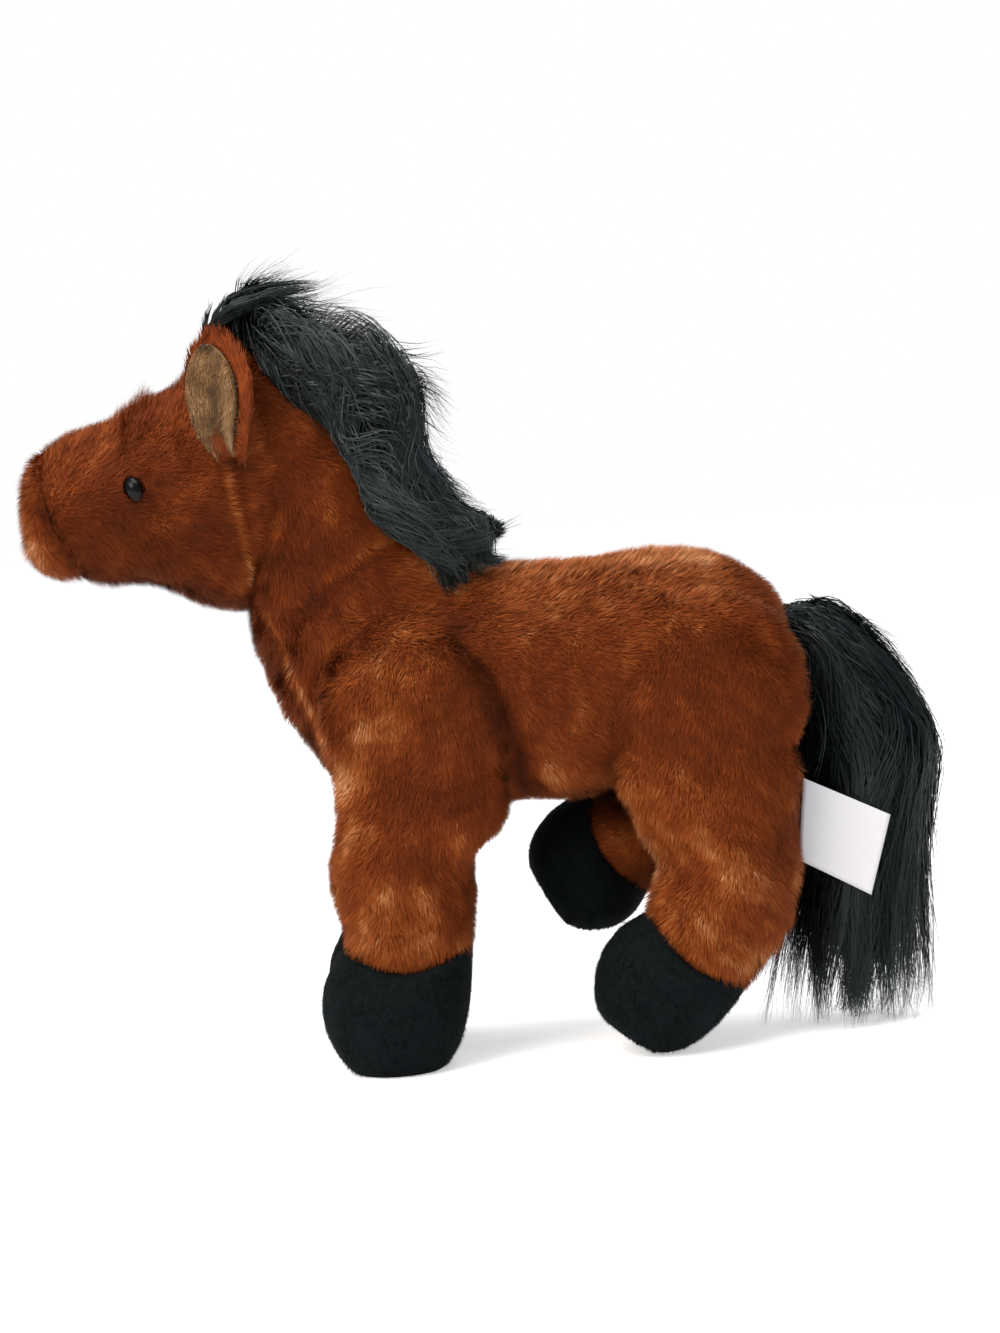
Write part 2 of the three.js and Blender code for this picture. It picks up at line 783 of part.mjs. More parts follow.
// Head cover: two side panels and a strip from the nose up over the forehead
const headCover = solid(headForm(bodySides))
  .intersect(headRoom)
  .subtract(solid(resized(headForm(hiddenSides), -coverThickness)))
  .subtract(neckBall(turnGap, false))
  .subtract(joined(eyePockets));
const foreheadRoom = (extra) => {
  const half = foreheadStripWidth / 2 + extra;
  const start = noseX + foreheadStripStartShare * headLength - extra;
  const floor = jawHeight + foreheadStripFloorShare * headDepth - extra;
  return solid(box(start, noseX + headLength + cutOverrun, -half, half, floor, floor + headDepth));
};
for (const [side, sideName] of sideNames) {
  const panel = headCover.subtract(foreheadRoom(seamGap)).intersect(panelRoom(side));
  addSolid(`head_panel_${sideName}`, panel, chestnutPlush);
}
addSolid("forehead_strip", headCover.intersect(foreheadRoom(0)), chestnutPlush);
addSolid(
  "head_stuffing",
  solid(resized(headForm(hiddenSides), -coverThickness - seamGap))
    .intersect(headRoom)
    .subtract(neckBall(turnGap, false))
    .subtract(joined(washerPockets)),
  whiteFill,
);

// Ears: a leaf of plush with a tan lining on its front, sewn into the seam behind the cheek
function leaf(length, width) {
  const place = (side, [outShare, upShare]) => [(side * outShare * width) / 2, upShare * length];
  const shape = new THREE.Shape();
  shape.moveTo(...place(-1, [earRootShare, 0]));
  shape.bezierCurveTo(
    ...place(-1, earLowPullShares),
    ...place(-1, earHighPullShares),
    ...place(-1, earShoulderShares),
  );
  shape.quadraticCurveTo(0, length * earTipPullShare, ...place(1, earShoulderShares));
  shape.bezierCurveTo(
    ...place(1, earHighPullShares),
    ...place(1, earLowPullShares),
    ...place(1, [earRootShare, 0]),
  );
  shape.closePath();
  return shape;
}

function earPiece(side, scale, thickness, outward) {
  const shape = leaf(earLength * scale, earWidth * scale);
  const geometry = new THREE.ExtrudeGeometry(shape, {
    depth: thickness,
    bevelEnabled: false,
    curveSegments: earCurveSegments,
  });
  const inset = ((1 - scale) * earLength) / 2;
  geometry.translate(0, inset, outward);
  geometry.rotateX(Math.PI / 2);
  geometry.rotateY(earTipTurn * degree);
  if (side > 0) geometry.scale(1, -1, 1);
  geometry.rotateX(side * earLean * degree);
  geometry.rotateZ(side * earTurn * degree);
  geometry.translate(earX, side * earBaseY, earBaseHeight);
  return facingOutIndexed(geometry);
}

const ears = [];
for (const [side, sideName] of sideNames) {
  const back = earPiece(side, 1, earThickness, 0);
  const lining = earPiece(side, liningShare, liningThickness, earThickness + seamGap);
  addMesh(`ear_${sideName}`, back, chestnutPlush);
  addMesh(`ear_lining_${sideName}`, lining, tanPlush);
  ears.push(back, lining);
}

// Long pile: the forelock on the poll, the mane on the crest and the tail on the rump
const forelockForm = trunkForm(
  forelockRingShares,
  forelockFrontX,
  forelockReach,
  forelockBaseHeight,
  forelockRise,
  forelockDepth,
  forelockWidth,
  limbSides,
);
addSolid(
  "forelock",
  solid(forelockForm)
    .intersect(headRoom)
    .subtract(solid(resized(headForm(bodySides), seamGap))),
  blackPile,
);

const maneForm = trunkForm(
  maneRingShares,
  maneFrontX,
  maneReach,
  maneBaseHeight,
  maneRise,
  maneDepth,
  maneWidth,
  limbSides,
);
addSolid(
  "mane",
  solid(maneForm)
    .intersect(behindUpperPlane(0))
    .subtract(trunkSolid(seamGap, bodySides))
    .subtract(neckBall(seamGap, false)),
  blackPile,
);

const tailForm = trunkForm(
  tailRingShares,
  tailFrontX,
  tailReach,
  tailBottom,
  tailLength,
  tailDepth,
  tailWidth,
  limbSides,
);
addSolid("tail", solid(tailForm).subtract(trunkSolid(seamGap, bodySides)), blackPile);

// Everything on the hoof's side of the cuff, from a distance along the hoof's slope
function beyondCuff(leg, distance) {
  const x = leg.cuffX - distance * Math.sin(leg.cuffAngle * degree);
  const z = leg.cuffHeight - distance * Math.cos(leg.cuffAngle * degree);
  return beyondPlane(x, z, -rightAngle - leg.cuffAngle);
}

// The sole is a disc set into the end of the hoof; its room is a plug of the same outline
function soleSolid(leg, extra, height) {
  const radius = (soleDiameterShare * leg.hoofDiameter) / 2 + extra;
  const disc = new THREE.CylinderGeometry(radius, radius, height, limbSides);
  disc.rotateX(Math.PI / 2);
  disc.translate(-leg.hoofForward, 0, height / 2 - leg.hoofHeight);
  return solid(ontoCuff(disc, leg));
}

// Legs: a plush tube with its stuffing, and a velour hoof with its own sole and a bag of pellets
for (const leg of legs) {
  const cover = legSolid(leg, 0, false)
    .subtract(legSolid(leg, -coverThickness, true))
    .subtract(beyondCuff(leg, 0));
  addSolid(`leg_${leg.name}`, cover, chestnutPlush);
  const fill = legSolid(leg, -coverThickness - seamGap, true).subtract(beyondCuff(leg, 0));
  addSolid(`leg_stuffing_${leg.name}`, fill, whiteFill);

  const hoof = solid(hoofForm(leg, limbSides))
    .subtract(solid(resized(hoofForm(leg, hiddenSides), -coverThickness)))
    .intersect(beyondCuff(leg, seamGap))
    .subtract(soleSolid(leg, seamGap, 2 * coverThickness))
    .subtract(belowFloor);
  addSolid(`hoof_${leg.name}`, hoof, blackVelour);
  addSolid(`hoof_sole_${leg.name}`, soleSolid(leg, 0, coverThickness).subtract(belowFloor), blackVelour);
  const bag = solid(resized(hoofForm(leg, hiddenSides), -coverThickness - seamGap))
    .intersect(beyondCuff(leg, seamGap))
    .subtract(beyondCuff(leg, leg.hoofHeight - coverThickness - seamGap))
    .subtract(belowFloor);
  addSolid(`pellet_bag_${leg.name}`, bag, bagCloth);
}

// Label: a folded ribbon caught in the back seam of the left thigh. It hangs askew, so its top edge droops
// and its sewn edge and its free edge lean.
function labelOutline() {
  const step = (from, length, angle) =>
    new THREE.Vector2(from.x + length * Math.cos(angle * degree), from.y + length * Math.sin(angle * degree));
  const top = new THREE.Vector2(0, 0);
  const farTop = step(top, labelWidth, -labelDroop);
  const farBottom = step(farTop, labelHeight, -rightAngle - labelFreeLean);
  const bottom = step(top, labelHeight, -rightAngle - labelSeamLean);
  return new THREE.Shape([top, farTop, farBottom, bottom]);
}
const label = new THREE.ExtrudeGeometry(labelOutline(), { depth: labelThickness, bevelEnabled: false });
label.rotateX(Math.PI / 2);
const labelLeg = legs.find((leg) => leg.name === "hind_left");
label.translate(labelX, labelLeg.side * (legSpread - labelInset), labelTopHeight);
addSolid("label", solid(label).subtract(legSolid(labelLeg, seamGap, false)), whiteSatin);

export default horse;
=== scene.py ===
import math

import bpy
import numpy as np
from mathutils import Matrix, Vector
from mathutils.bvhtree import BVHTree


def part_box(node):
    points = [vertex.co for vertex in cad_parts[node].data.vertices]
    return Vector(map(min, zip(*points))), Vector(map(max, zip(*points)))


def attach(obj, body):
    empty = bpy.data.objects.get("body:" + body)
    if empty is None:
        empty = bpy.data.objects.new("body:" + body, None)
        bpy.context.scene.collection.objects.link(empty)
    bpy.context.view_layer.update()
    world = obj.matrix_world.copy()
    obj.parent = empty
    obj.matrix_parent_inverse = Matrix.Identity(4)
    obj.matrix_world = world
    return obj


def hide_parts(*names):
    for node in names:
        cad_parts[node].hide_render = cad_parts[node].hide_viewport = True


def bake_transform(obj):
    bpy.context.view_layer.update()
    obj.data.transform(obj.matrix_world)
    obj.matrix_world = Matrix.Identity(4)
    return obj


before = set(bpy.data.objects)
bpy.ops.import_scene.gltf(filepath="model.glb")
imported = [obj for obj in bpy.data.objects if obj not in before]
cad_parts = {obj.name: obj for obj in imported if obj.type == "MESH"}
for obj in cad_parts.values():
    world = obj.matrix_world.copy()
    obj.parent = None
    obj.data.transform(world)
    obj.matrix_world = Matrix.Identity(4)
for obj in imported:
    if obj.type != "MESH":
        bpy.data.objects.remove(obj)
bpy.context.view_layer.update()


# Camera. It stands a little under a metre off the horse's left side, slightly above its back and
# rolled a little, as it was held for the photograph.
mm = 0.001
camera_distance = 950
camera_height_angle = math.radians(5)
camera_roll = math.radians(4)
aim = np.array([3.3, 0.0, 106.0])
frame_width_at_aim = 275.8
sensor_width = 36

look = np.array([0.0, math.cos(camera_height_angle), -math.sin(camera_height_angle)])
level_right = np.array([1.0, 0.0, 0.0])
level_up = np.cross(level_right, look)
right = level_right * math.cos(camera_roll) - level_up * math.sin(camera_roll)
up = level_right * math.sin(camera_roll) + level_up * math.cos(camera_roll)
camera_data = bpy.data.cameras.new("camera")
camera_data.sensor_fit = "HORIZONTAL"
camera_data.sensor_width = sensor_width
camera_data.lens = sensor_width * camera_distance / frame_width_at_aim
camera = bpy.data.objects.new("camera", camera_data)
bpy.context.scene.collection.objects.link(camera)
camera_place = (aim - look * camera_distance) * mm
camera.matrix_world = Matrix(
    [[right[row], up[row], -look[row], camera_place[row]] for row in range(3)] + [[0, 0, 0, 1]]
)
bpy.context.scene.camera = camera


# Room. A matt white floor under two soft white lamps, a broad one up on the camera's left and a
# weaker one straight above the horse, with a pale sky all round.
def from_hex(code):
    """An sRGB hex code as the linear colour that a shader takes."""
    channels = [int(code[start : start + 2], 16) / 255 for start in (1, 3, 5)]
    linear = [c / 12.92 if c <= 0.04045 else ((c + 0.055) / 1.055) ** 2.4 for c in channels]
    return (*linear, 1.0)


def add_node(tree, kind, settings=None, inputs=None):
    """A node with its settings. Each input is linked, where it is a socket, or given its value."""
    made = tree.nodes.new(kind)
    for name, value in (settings or {}).items():
        setattr(made, name, value)
    for name, value in (inputs or {}).items():
        if isinstance(value, bpy.types.NodeSocket):
            tree.links.new(value, made.inputs[name])
        else:
            made.inputs[name].default_value = value
    return made


def new_material(name):
    """A material with an empty node tree, and that tree."""
    material = bpy.data.materials.new(name)
    material.use_nodes = True
    material.node_tree.nodes.clear()
    return material, material.node_tree


def any_of_rays(tree, kinds):
    """1 for a ray of one of these kinds, and 0 for any other."""
    rays = add_node(tree, "ShaderNodeLightPath")
    found = rays.outputs[kinds[0]]
    for kind in kinds[1:]:
        either = add_node(tree, "ShaderNodeMath", {"operation": "MAXIMUM"}, {0: found, 1: rays.outputs[kind]})
        found = either.outputs[0]
    return found


# Matt paper scatters light evenly. The camera also sees it glow a little, so that the floor runs
# into the white behind it without an edge.
floor_size = 6000
floor_glow = 0.5
half_floor = floor_size * mm / 2
floor_corners = [(x * half_floor, y * half_floor, 0) for x, y in ((-1, -1), (1, -1), (1, 1), (-1, 1))]
floor_mesh = bpy.data.meshes.new("floor")
floor_mesh.from_pydata(floor_corners, [], [(0, 1, 2, 3)])
floor = bpy.data.objects.new("floor", floor_mesh)
bpy.context.scene.collection.objects.link(floor)
matt_paper, tree = new_material("matt_white_paper")
seen = any_of_rays(tree, ("Is Camera Ray", "Is Glossy Ray", "Is Transmission Ray"))
paper_light = add_node(tree, "ShaderNodeMath", {"operation": "MULTIPLY"}, {0: seen, 1: floor_glow})
paper = add_node(tree, "ShaderNodeBsdfDiffuse", inputs={"Color": from_hex("#f2f2f2")})
paper_glow = add_node(tree, "ShaderNodeEmission", inputs={"Strength": paper_light.outputs[0]})
paper_sum = add_node(tree, "ShaderNodeAddShader", inputs={0: paper.outputs[0], 1: paper_glow.outputs[0]})
add_node(tree, "ShaderNodeOutputMaterial", inputs={"Surface": paper_sum.outputs[0]})
floor_mesh.materials.append(matt_paper)

# The sky lights the horse softly from all round and looks plain white to the camera.
sky_strength = 0.62
world = bpy.data.worlds.new("pale_room")
world.use_nodes = True
bpy.context.scene.world = world
tree = world.node_tree
tree.nodes.clear()
sky_light = add_node(
    tree, "ShaderNodeBackground", inputs={"Color": from_hex("#f4f6fb"), "Strength": sky_strength}
)
white_back = add_node(tree, "ShaderNodeBackground", inputs={"Color": (1, 1, 1, 1), "Strength": 1.0})
seen = any_of_rays(tree, ("Is Camera Ray", "Is Transmission Ray"))
backgrounds = {0: seen, 1: sky_light.outputs[0], 2: white_back.outputs[0]}
room = add_node(tree, "ShaderNodeMixShader", inputs=backgrounds)
add_node(tree, "ShaderNodeOutputWorld", inputs={"Surface": room.outputs[0]})


def add_lamp(name, place, target, size, power, color):
    """A square lamp, its size in mm and its power in watts, turned to face a target."""
    data = bpy.data.lights.new(name, "AREA")
    data.size = size * mm
    data.energy = power
    data.color = from_hex(color)[:3]
    lamp = bpy.data.objects.new(name, data)
    bpy.context.scene.collection.objects.link(lamp)
    away = np.array(place, float) - np.array(target, float)
    away /= np.linalg.norm(away)
    side = np.cross([0.0, 1.0, 0.0] if abs(away[1]) < 0.9 else [0.0, 0.0, 1.0], away)
    side /= np.linalg.norm(side)
    over = np.cross(away, side)
    lamp.matrix_world = Matrix(
        [[side[row], over[row], away[row], place[row] * mm] for row in range(3)] + [[0, 0, 0, 1]]
    )


lit_place = (0, 0, 100)
add_lamp("key_lamp", (-590, -720, 840), lit_place, size=700, power=15.2, color="#fff6ea")
add_lamp("top_lamp", (100, -50, 1100), lit_place, size=800, power=11.0, color="#ffffff")
bpy.context.scene.view_settings.view_transform = "Standard"


# Body cover. Chestnut plush sewn in two side panels and a belly strip, stuffed firm with fibre, so
# that back, chest and neck swell between the seams and fold where neck and shoulder meet. The
# backing lies pile_inset under the surface that the eye sees.
pile_inset = 1.9
thinnest_half = 0.3


def rounded_path(rows, steps):
    """A smooth curve through rows of numbers, with so many steps from each row to the next."""
    rows = np.array(rows, float)
    gaps = np.linalg.norm(np.diff(rows, axis=0), axis=1)
    slopes = np.diff(rows, axis=0) / gaps[:, None]
    inner = (slopes[:-1] * gaps[1:, None] + slopes[1:] * gaps[:-1, None]) / (gaps[:-1] + gaps[1:])[:, None]
    tangents = np.vstack([slopes[:1], inner, slopes[-1:]])
    made = [rows[:1]]
    for step in range(len(gaps)):
        t = (np.arange(1, steps + 1) / steps)[:, None]
        start, end = rows[step], rows[step + 1]
        start_pull, end_pull = tangents[step] * gaps[step], tangents[step + 1] * gaps[step]
        made.append(
            (2 * t**3 - 3 * t**2 + 1) * start
            + (t**3 - 2 * t**2 + t) * start_pull
            + (3 * t**2 - 2 * t**3) * end
            + (t**3 - t**2) * end_pull
        )
    return np.vstack(made)


def stuffed_form(rings, sides=40, steps=6, inset=pile_inset):
    """The backing under the pile, through rings of (x, y, z, angle, depth, width). The angle is in
    degrees, and the form ends in a point at each end."""
    rows = rounded_path(rings, steps)
    around = np.linspace(0, 2 * math.pi, sides, endpoint=False)
    points = [rows[0, :3]]
    for x, y, z, angle, depth, width in rows[1:-1]:
        turn = math.radians(angle)
        out = np.cos(around) * max(depth / 2 - inset, thinnest_half)
        wide = np.sin(around) * max(width / 2 - inset, thinnest_half)
        points.extend(np.stack([x + out * math.cos(turn), y + wide, z + out * math.sin(turn)], axis=1))
    points.append(rows[-1, :3])
    faces = []
    rings_made = len(rows) - 2
    last = 1 + rings_made * sides
    for side in range(sides):
        after = (side + 1) % sides
        faces.append((0, 1 + side, 1 + after))
        for row in range(rings_made - 1):
            here, there = 1 + row * sides, 1 + (row + 1) * sides
            faces.append((here + side, there + side, there + after, here + after))
        faces.append((last - sides + side, last, last - sides + after))
    return np.array(points), faces


def link_mesh(name, points, faces):
    """A mesh in the scene from points in mm."""
    mesh = bpy.data.meshes.new(name)
    mesh.from_pydata((np.asarray(points) * mm).tolist(), [], faces)
    mesh.validate()
    piece = bpy.data.objects.new(name, mesh)
    bpy.context.scene.collection.objects.link(piece)
    return piece


def sewn_cover(name, forms, voxel, smoothing):
    """Forms that overlap are melted into one skin and smoothed, as firm stuffing rounds off a cover."""
    points, faces = [], []
    for form_points, form_faces in forms:
        start = len(points)
        points.extend(form_points)
        faces.extend(tuple(start + corner for corner in face) for face in form_faces)
    piece = link_mesh(name, points, faces)
    remesh = piece.modifiers.new("remesh", "REMESH")
    remesh.mode = "VOXEL"
    remesh.voxel_size = voxel * mm
    smooth = piece.modifiers.new("smooth", "SMOOTH")
    smooth.iterations = smoothing
    smooth.factor = 0.5
    settled = piece.evaluated_get(bpy.context.evaluated_depsgraph_get())
    mesh = bpy.data.meshes.new_from_object(settled)
    piece.modifiers.clear()
    piece.data = mesh
    mesh.name = name
    mesh.shade_smooth()
    return piece


def points_of(piece):
    flat = np.zeros(len(piece.data.vertices) * 3)
    piece.data.vertices.foreach_get("co", flat)
    return flat.reshape(-1, 3) / mm


def normals_of(piece):
    flat = np.zeros(len(piece.data.vertices) * 3)
    piece.data.vertices.foreach_get("normal", flat)
    return flat.reshape(-1, 3)


def place_points(piece, points):
    piece.data.vertices.foreach_set("co", (points * mm).ravel())
    piece.data.update()


def soft_noise(points, size, seed):
    """Smooth noise with lumps of about a size in mm, mostly between -2 and 2: the sum of some waves."""
    dice = np.random.default_rng(seed)
    waves = 8
    total = np.zeros(len(points))
    for _ in range(waves):
        way = dice.normal(size=3)
        way *= 2 * math.pi / (size * dice.uniform(0.7, 1.5) * np.linalg.norm(way))
        total += np.sin(points @ way + dice.uniform(0, 2 * math.pi))
    return total / math.sqrt(waves / 2)


def distance_to_line(points, line):
    """Distance in the side view from points to a line through (x, z) places."""
    flat = points[:, [0, 2]]
    best = np.full(len(points), 1e9)
    for start, end in zip(np.array(line[:-1], float), np.array(line[1:], float)):
        along = end - start
        share = np.clip((flat - start) @ along / (along @ along), 0, 1)
        best = np.minimum(best, np.linalg.norm(flat - start - share[:, None] * along, axis=1))
    return best


def press_folds(piece, folds, lump_size, lump_depth, seed):
    """Stuffing's soft lumps all over, and folds = (line, depth, width) pressed in along their lines."""
    points, normals = points_of(piece), normals_of(piece)
    moved = soft_noise(points, lump_size, seed) * lump_depth
    for line, depth, width in folds:
        moved -= depth * np.exp(-((distance_to_line(points, line) / width) ** 2))
    place_points(piece, points + normals * moved[:, None])


body_rings = [
    (-54, 0, 98.1, 90, 0, 0),
    (-50, 0, 99, 90, 24, 26),
    (-42, 0, 100.5, 90, 46.9, 46),
    (-28, 0, 102.5, 90, 63, 57.9),
    (-8, 0, 101.6, 90, 67.3, 63),
    (18, 0, 101.3, 90, 67.3, 64),
    (44, 0, 102.6, 90, 68, 65),
    (63, 0, 102.9, 90, 63.6, 61.1),
    (75, 0, 101.7, 90, 53, 50),
    (81.5, 0, 99.5, 90, 32, 31.2),
    (84, 0, 98.5, 90, 0, 0),
]
neck_rings = [
    (-11, 0, 103, 39, 0, 0),
    (-20.8, 0, 109.4, 39, 72, 46),
    (-28.4, 0, 114.5, 41.7, 70.4, 54),
    (-36, 0, 126, 45, 67.6, 52.9),
    (-41.8, 0, 139.2, 48.8, 65.6, 50.2),
    (-47, 0, 153.5, 55.8, 64, 47),
    (-52, 0, 162, 62, 58, 42),
    (-55, 0, 168, 65, 0, 0),
]


def stuffed_ball(x, y, z, radius, half_width):
    """A round form, flatter across the horse, for the top of a leg or the place where the head nods."""
    steps = 10
    rings = [(x, y, z + radius, 0, 0, 0)]
    for step in range(1, steps):
        turn = math.pi * step / steps
        depth, width = 2 * radius * math.sin(turn), 2 * half_width * math.sin(turn)
        rings.append((x, y, z + radius * math.cos(turn), 0, depth, width))
    rings.append((x, y, z - radius, 0, 0, 0))
    return stuffed_form(rings)


joint_height = 95
joint_spread = 25
shoulder_x, hip_x = -20, 58
nod_x, nod_z = -55, 163.3
nod_radius, nod_half_width = 33.5, 21.5
swelling_radius, swelling_half_width = 29, 11.5
swellings = [
    stuffed_ball(x, side * (joint_spread - 1), joint_height + 2, swelling_radius, swelling_half_width)
    for x in (shoulder_x, hip_x)
    for side in (-1, 1)
]
nod_ball = stuffed_ball(nod_x, 0, nod_z, nod_radius, nod_half_width)
body_forms = [stuffed_form(body_rings), stuffed_form(neck_rings), nod_ball] + swellings
body_cover = sewn_cover("body_cover", body_forms, voxel=1.6, smoothing=14)
neck_fold = [(-22, 145), (-31, 140.5), (-42.8, 133.7), (-52, 124), (-57, 112)]
elbow_fold = [(-9, 118), (-3.9, 109.3), (1, 97), (4.2, 85.2), (6.5, 76)]
flank_fold = [(31, 90), (29.5, 80), (32, 70)]
press_folds(
    body_cover,
    [(neck_fold, 1.6, 3.2), (elbow_fold, 3.0, 5.5), (flank_fold, 1.6, 5)],
    lump_size=26,
    lump_depth=0.45,
    seed=11,
)


def dyed_yarns(name, tones, looks):
    """One material for each tone of a pile, from dark to pale."""
    yarns = []
    for number, tone in enumerate(tones):
        yarn, tree = new_material(f"{name}_{number + 1}")
        fibre = add_node(tree, "ShaderNodeBsdfPrincipled", inputs={"Base Color": from_hex(tone), **looks})
        add_node(tree, "ShaderNodeOutputMaterial", inputs={"Surface": fibre.outputs[0]})
        yarns.append(yarn)
    return yarns


def cloth_ground(name, patch, dark, light, looks):
    """The cloth under a pile, mottled in two close tones with patches of a size in mm."""
    cloth, tree = new_material(name)
    places = add_node(tree, "ShaderNodeTexCoord")
    patches = add_node(
        tree, "ShaderNodeTexNoise", inputs={"Vector": places.outputs["Object"], "Scale": 1 / (patch * mm)}
    )
    tones = add_node(
        tree,
        "ShaderNodeMix",
        {"data_type": "RGBA"},
        {0: patches.outputs["Fac"], 6: from_hex(dark), 7: from_hex(light)},
    )
    surface = add_node(tree, "ShaderNodeBsdfPrincipled", inputs={"Base Color": tones.outputs[2], **looks})
    add_node(tree, "ShaderNodeOutputMaterial", inputs={"Surface": surface.outputs[0]})
    return cloth


# Cut polyester pile is rough and has no gloss, and goes pale and warm where it is seen edge on. Its tones run
# from deep red-brown to tan; the darker ones also give painted shade and the paler ones painted highlight.
pile_tones = [
    "#3c1506", "#491b07", "#582309", "#672b0b", "#76330e", "#863e14", "#9a4f20", "#b66c3c", "#d69c6c"
]
chestnut_yarns = dyed_yarns(
    "chestnut_plush_pile",
    pile_tones,
    {
        "Roughness": 0.75,
        "Specular IOR Level": 0.12,
        "Sheen Weight": 0.2,
        "Sheen Roughness": 0.4,
        "Sheen Tint": from_hex("#e6a873"),
    },
)
# The knit backing is dull. It shows only as a dark red-brown between the strands, so that its patches
# stand for the knit, whose loops are far smaller.
backing_patch = 6
backing_looks = {"Roughness": 0.95, "Specular IOR Level": 0.15}
chestnut_backing = cloth_ground("chestnut_knit_backing", backing_patch, "#552309", "#72320f", backing_looks)
body_cover.data.materials.append(chestnut_backing)


def unit(vectors):
    """Vectors brought to length 1, where they have a length."""
    return vectors / np.maximum(np.linalg.norm(vectors, axis=-1, keepdims=True), 1e-9)


def surface_tree(piece):
    """The faces of a piece, set up to find the nearest one to a point."""
    faces = [tuple(face.vertices) for face in piece.data.polygons]
    return BVHTree.FromPolygons(points_of(piece).tolist(), faces)


def is_inside(piece, points, margin):
    """True for the points that lie deeper than a margin inside a closed piece."""
    corners = points_of(piece)
    tree = surface_tree(piece)
    hidden = np.zeros(len(points), bool)
    near = np.all((points > corners.min(axis=0)) & (points < corners.max(axis=0)), axis=1)
    for number in np.flatnonzero(near):
        point = Vector(points[number])
        place, normal, _, _ = tree.find_nearest(point)
        hidden[number] = (place - point).dot(normal) > margin
    return hidden


def is_near(piece, points, reach):
    """True for the points within reach of a piece."""
    tree = surface_tree(piece)
    return np.array([tree.find_nearest(Vector(point))[3] < reach for point in points])


def strand_mesh(name, points, faces_of_strand, corners_each, strands, yarn_numbers, normals, yarns):
    """One mesh of like strands: faces_of_strand lists a strand's faces by its own corner numbers."""
    mesh = bpy.data.meshes.new(name)
    mesh.vertices.add(len(points))
    mesh.vertices.foreach_set("co", (points * mm).ravel())
    loops = np.concatenate([np.array(face) for face in faces_of_strand])
    sizes = np.array([len(face) for face in faces_of_strand])
    offsets = np.arange(strands)[:, None] * corners_each
    all_loops = (loops[None, :] + offsets).ravel()
    all_sizes = np.tile(sizes, strands)
    mesh.loops.add(len(all_loops))
    mesh.loops.foreach_set("vertex_index", all_loops.astype(np.int32))
    mesh.polygons.add(len(all_sizes))
    starts = np.concatenate([[0], np.cumsum(all_sizes)[:-1]])
    mesh.polygons.foreach_set("loop_start", starts.astype(np.int32))
    mesh.polygons.foreach_set("material_index", yarn_numbers.astype(np.int32))
    mesh.update(calc_edges=True)
    mesh.shade_smooth()
    mesh.normals_split_custom_set_from_vertices(normals)
    for yarn in yarns:
        mesh.materials.append(yarn)
    piece = bpy.data.objects.new(name, mesh)
    bpy.context.scene.collection.objects.link(piece)
    return piece


def scatter(piece, density, seed):
    """Places and normals spread evenly over a piece, at so many to a square millimetre."""
    mesh = piece.data
    mesh.calc_loop_triangles()
    corners = np.zeros(len(mesh.loop_triangles) * 3, np.int32)
    mesh.loop_triangles.foreach_get("vertices", corners)
    corners = corners.reshape(-1, 3)
    points, normals = points_of(piece), normals_of(piece)
    a, b, c = (points[corners[:, corner]] for corner in range(3))
    areas = np.linalg.norm(np.cross(b - a, c - a), axis=1) / 2
    dice = np.random.default_rng(seed)
    count = int(areas.sum() * density)
    chosen = dice.choice(len(areas), count, p=areas / areas.sum())
    first, second = dice.random(count), dice.random(count)
    flip = first + second > 1
    first[flip], second[flip] = 1 - first[flip], 1 - second[flip]
    shares = np.stack([1 - first - second, first, second], axis=1)[:, :, None]
    spots = (points[corners[chosen]] * shares).sum(axis=1)
    return spots, unit((normals[corners[chosen]] * shares).sum(axis=1))


# Sizes in mm of the swirls and tufts in which the strands lie and of the clouds and flecks of tone,
# and how strongly each one shows.
swirl_size, tuft_size, cloud_size, fleck_size = 19, 6, 14, 5
swirl_pull, tuft_pull, stray_pull = 0.15, 0.17, 0.1
calm_upward, even_upward = 0.75, 0.55
weak_comb, droop = 0.7, 1.5
painted_light_and_tone_strength, cloud_strength, fleck_strength, strand_strength = 1.8, 0.6, 0.42, 0.6
darkest_cloud, darkest_fleck = -0.35, -0.25
overall_tone = 0.15
root_depth = 0.4


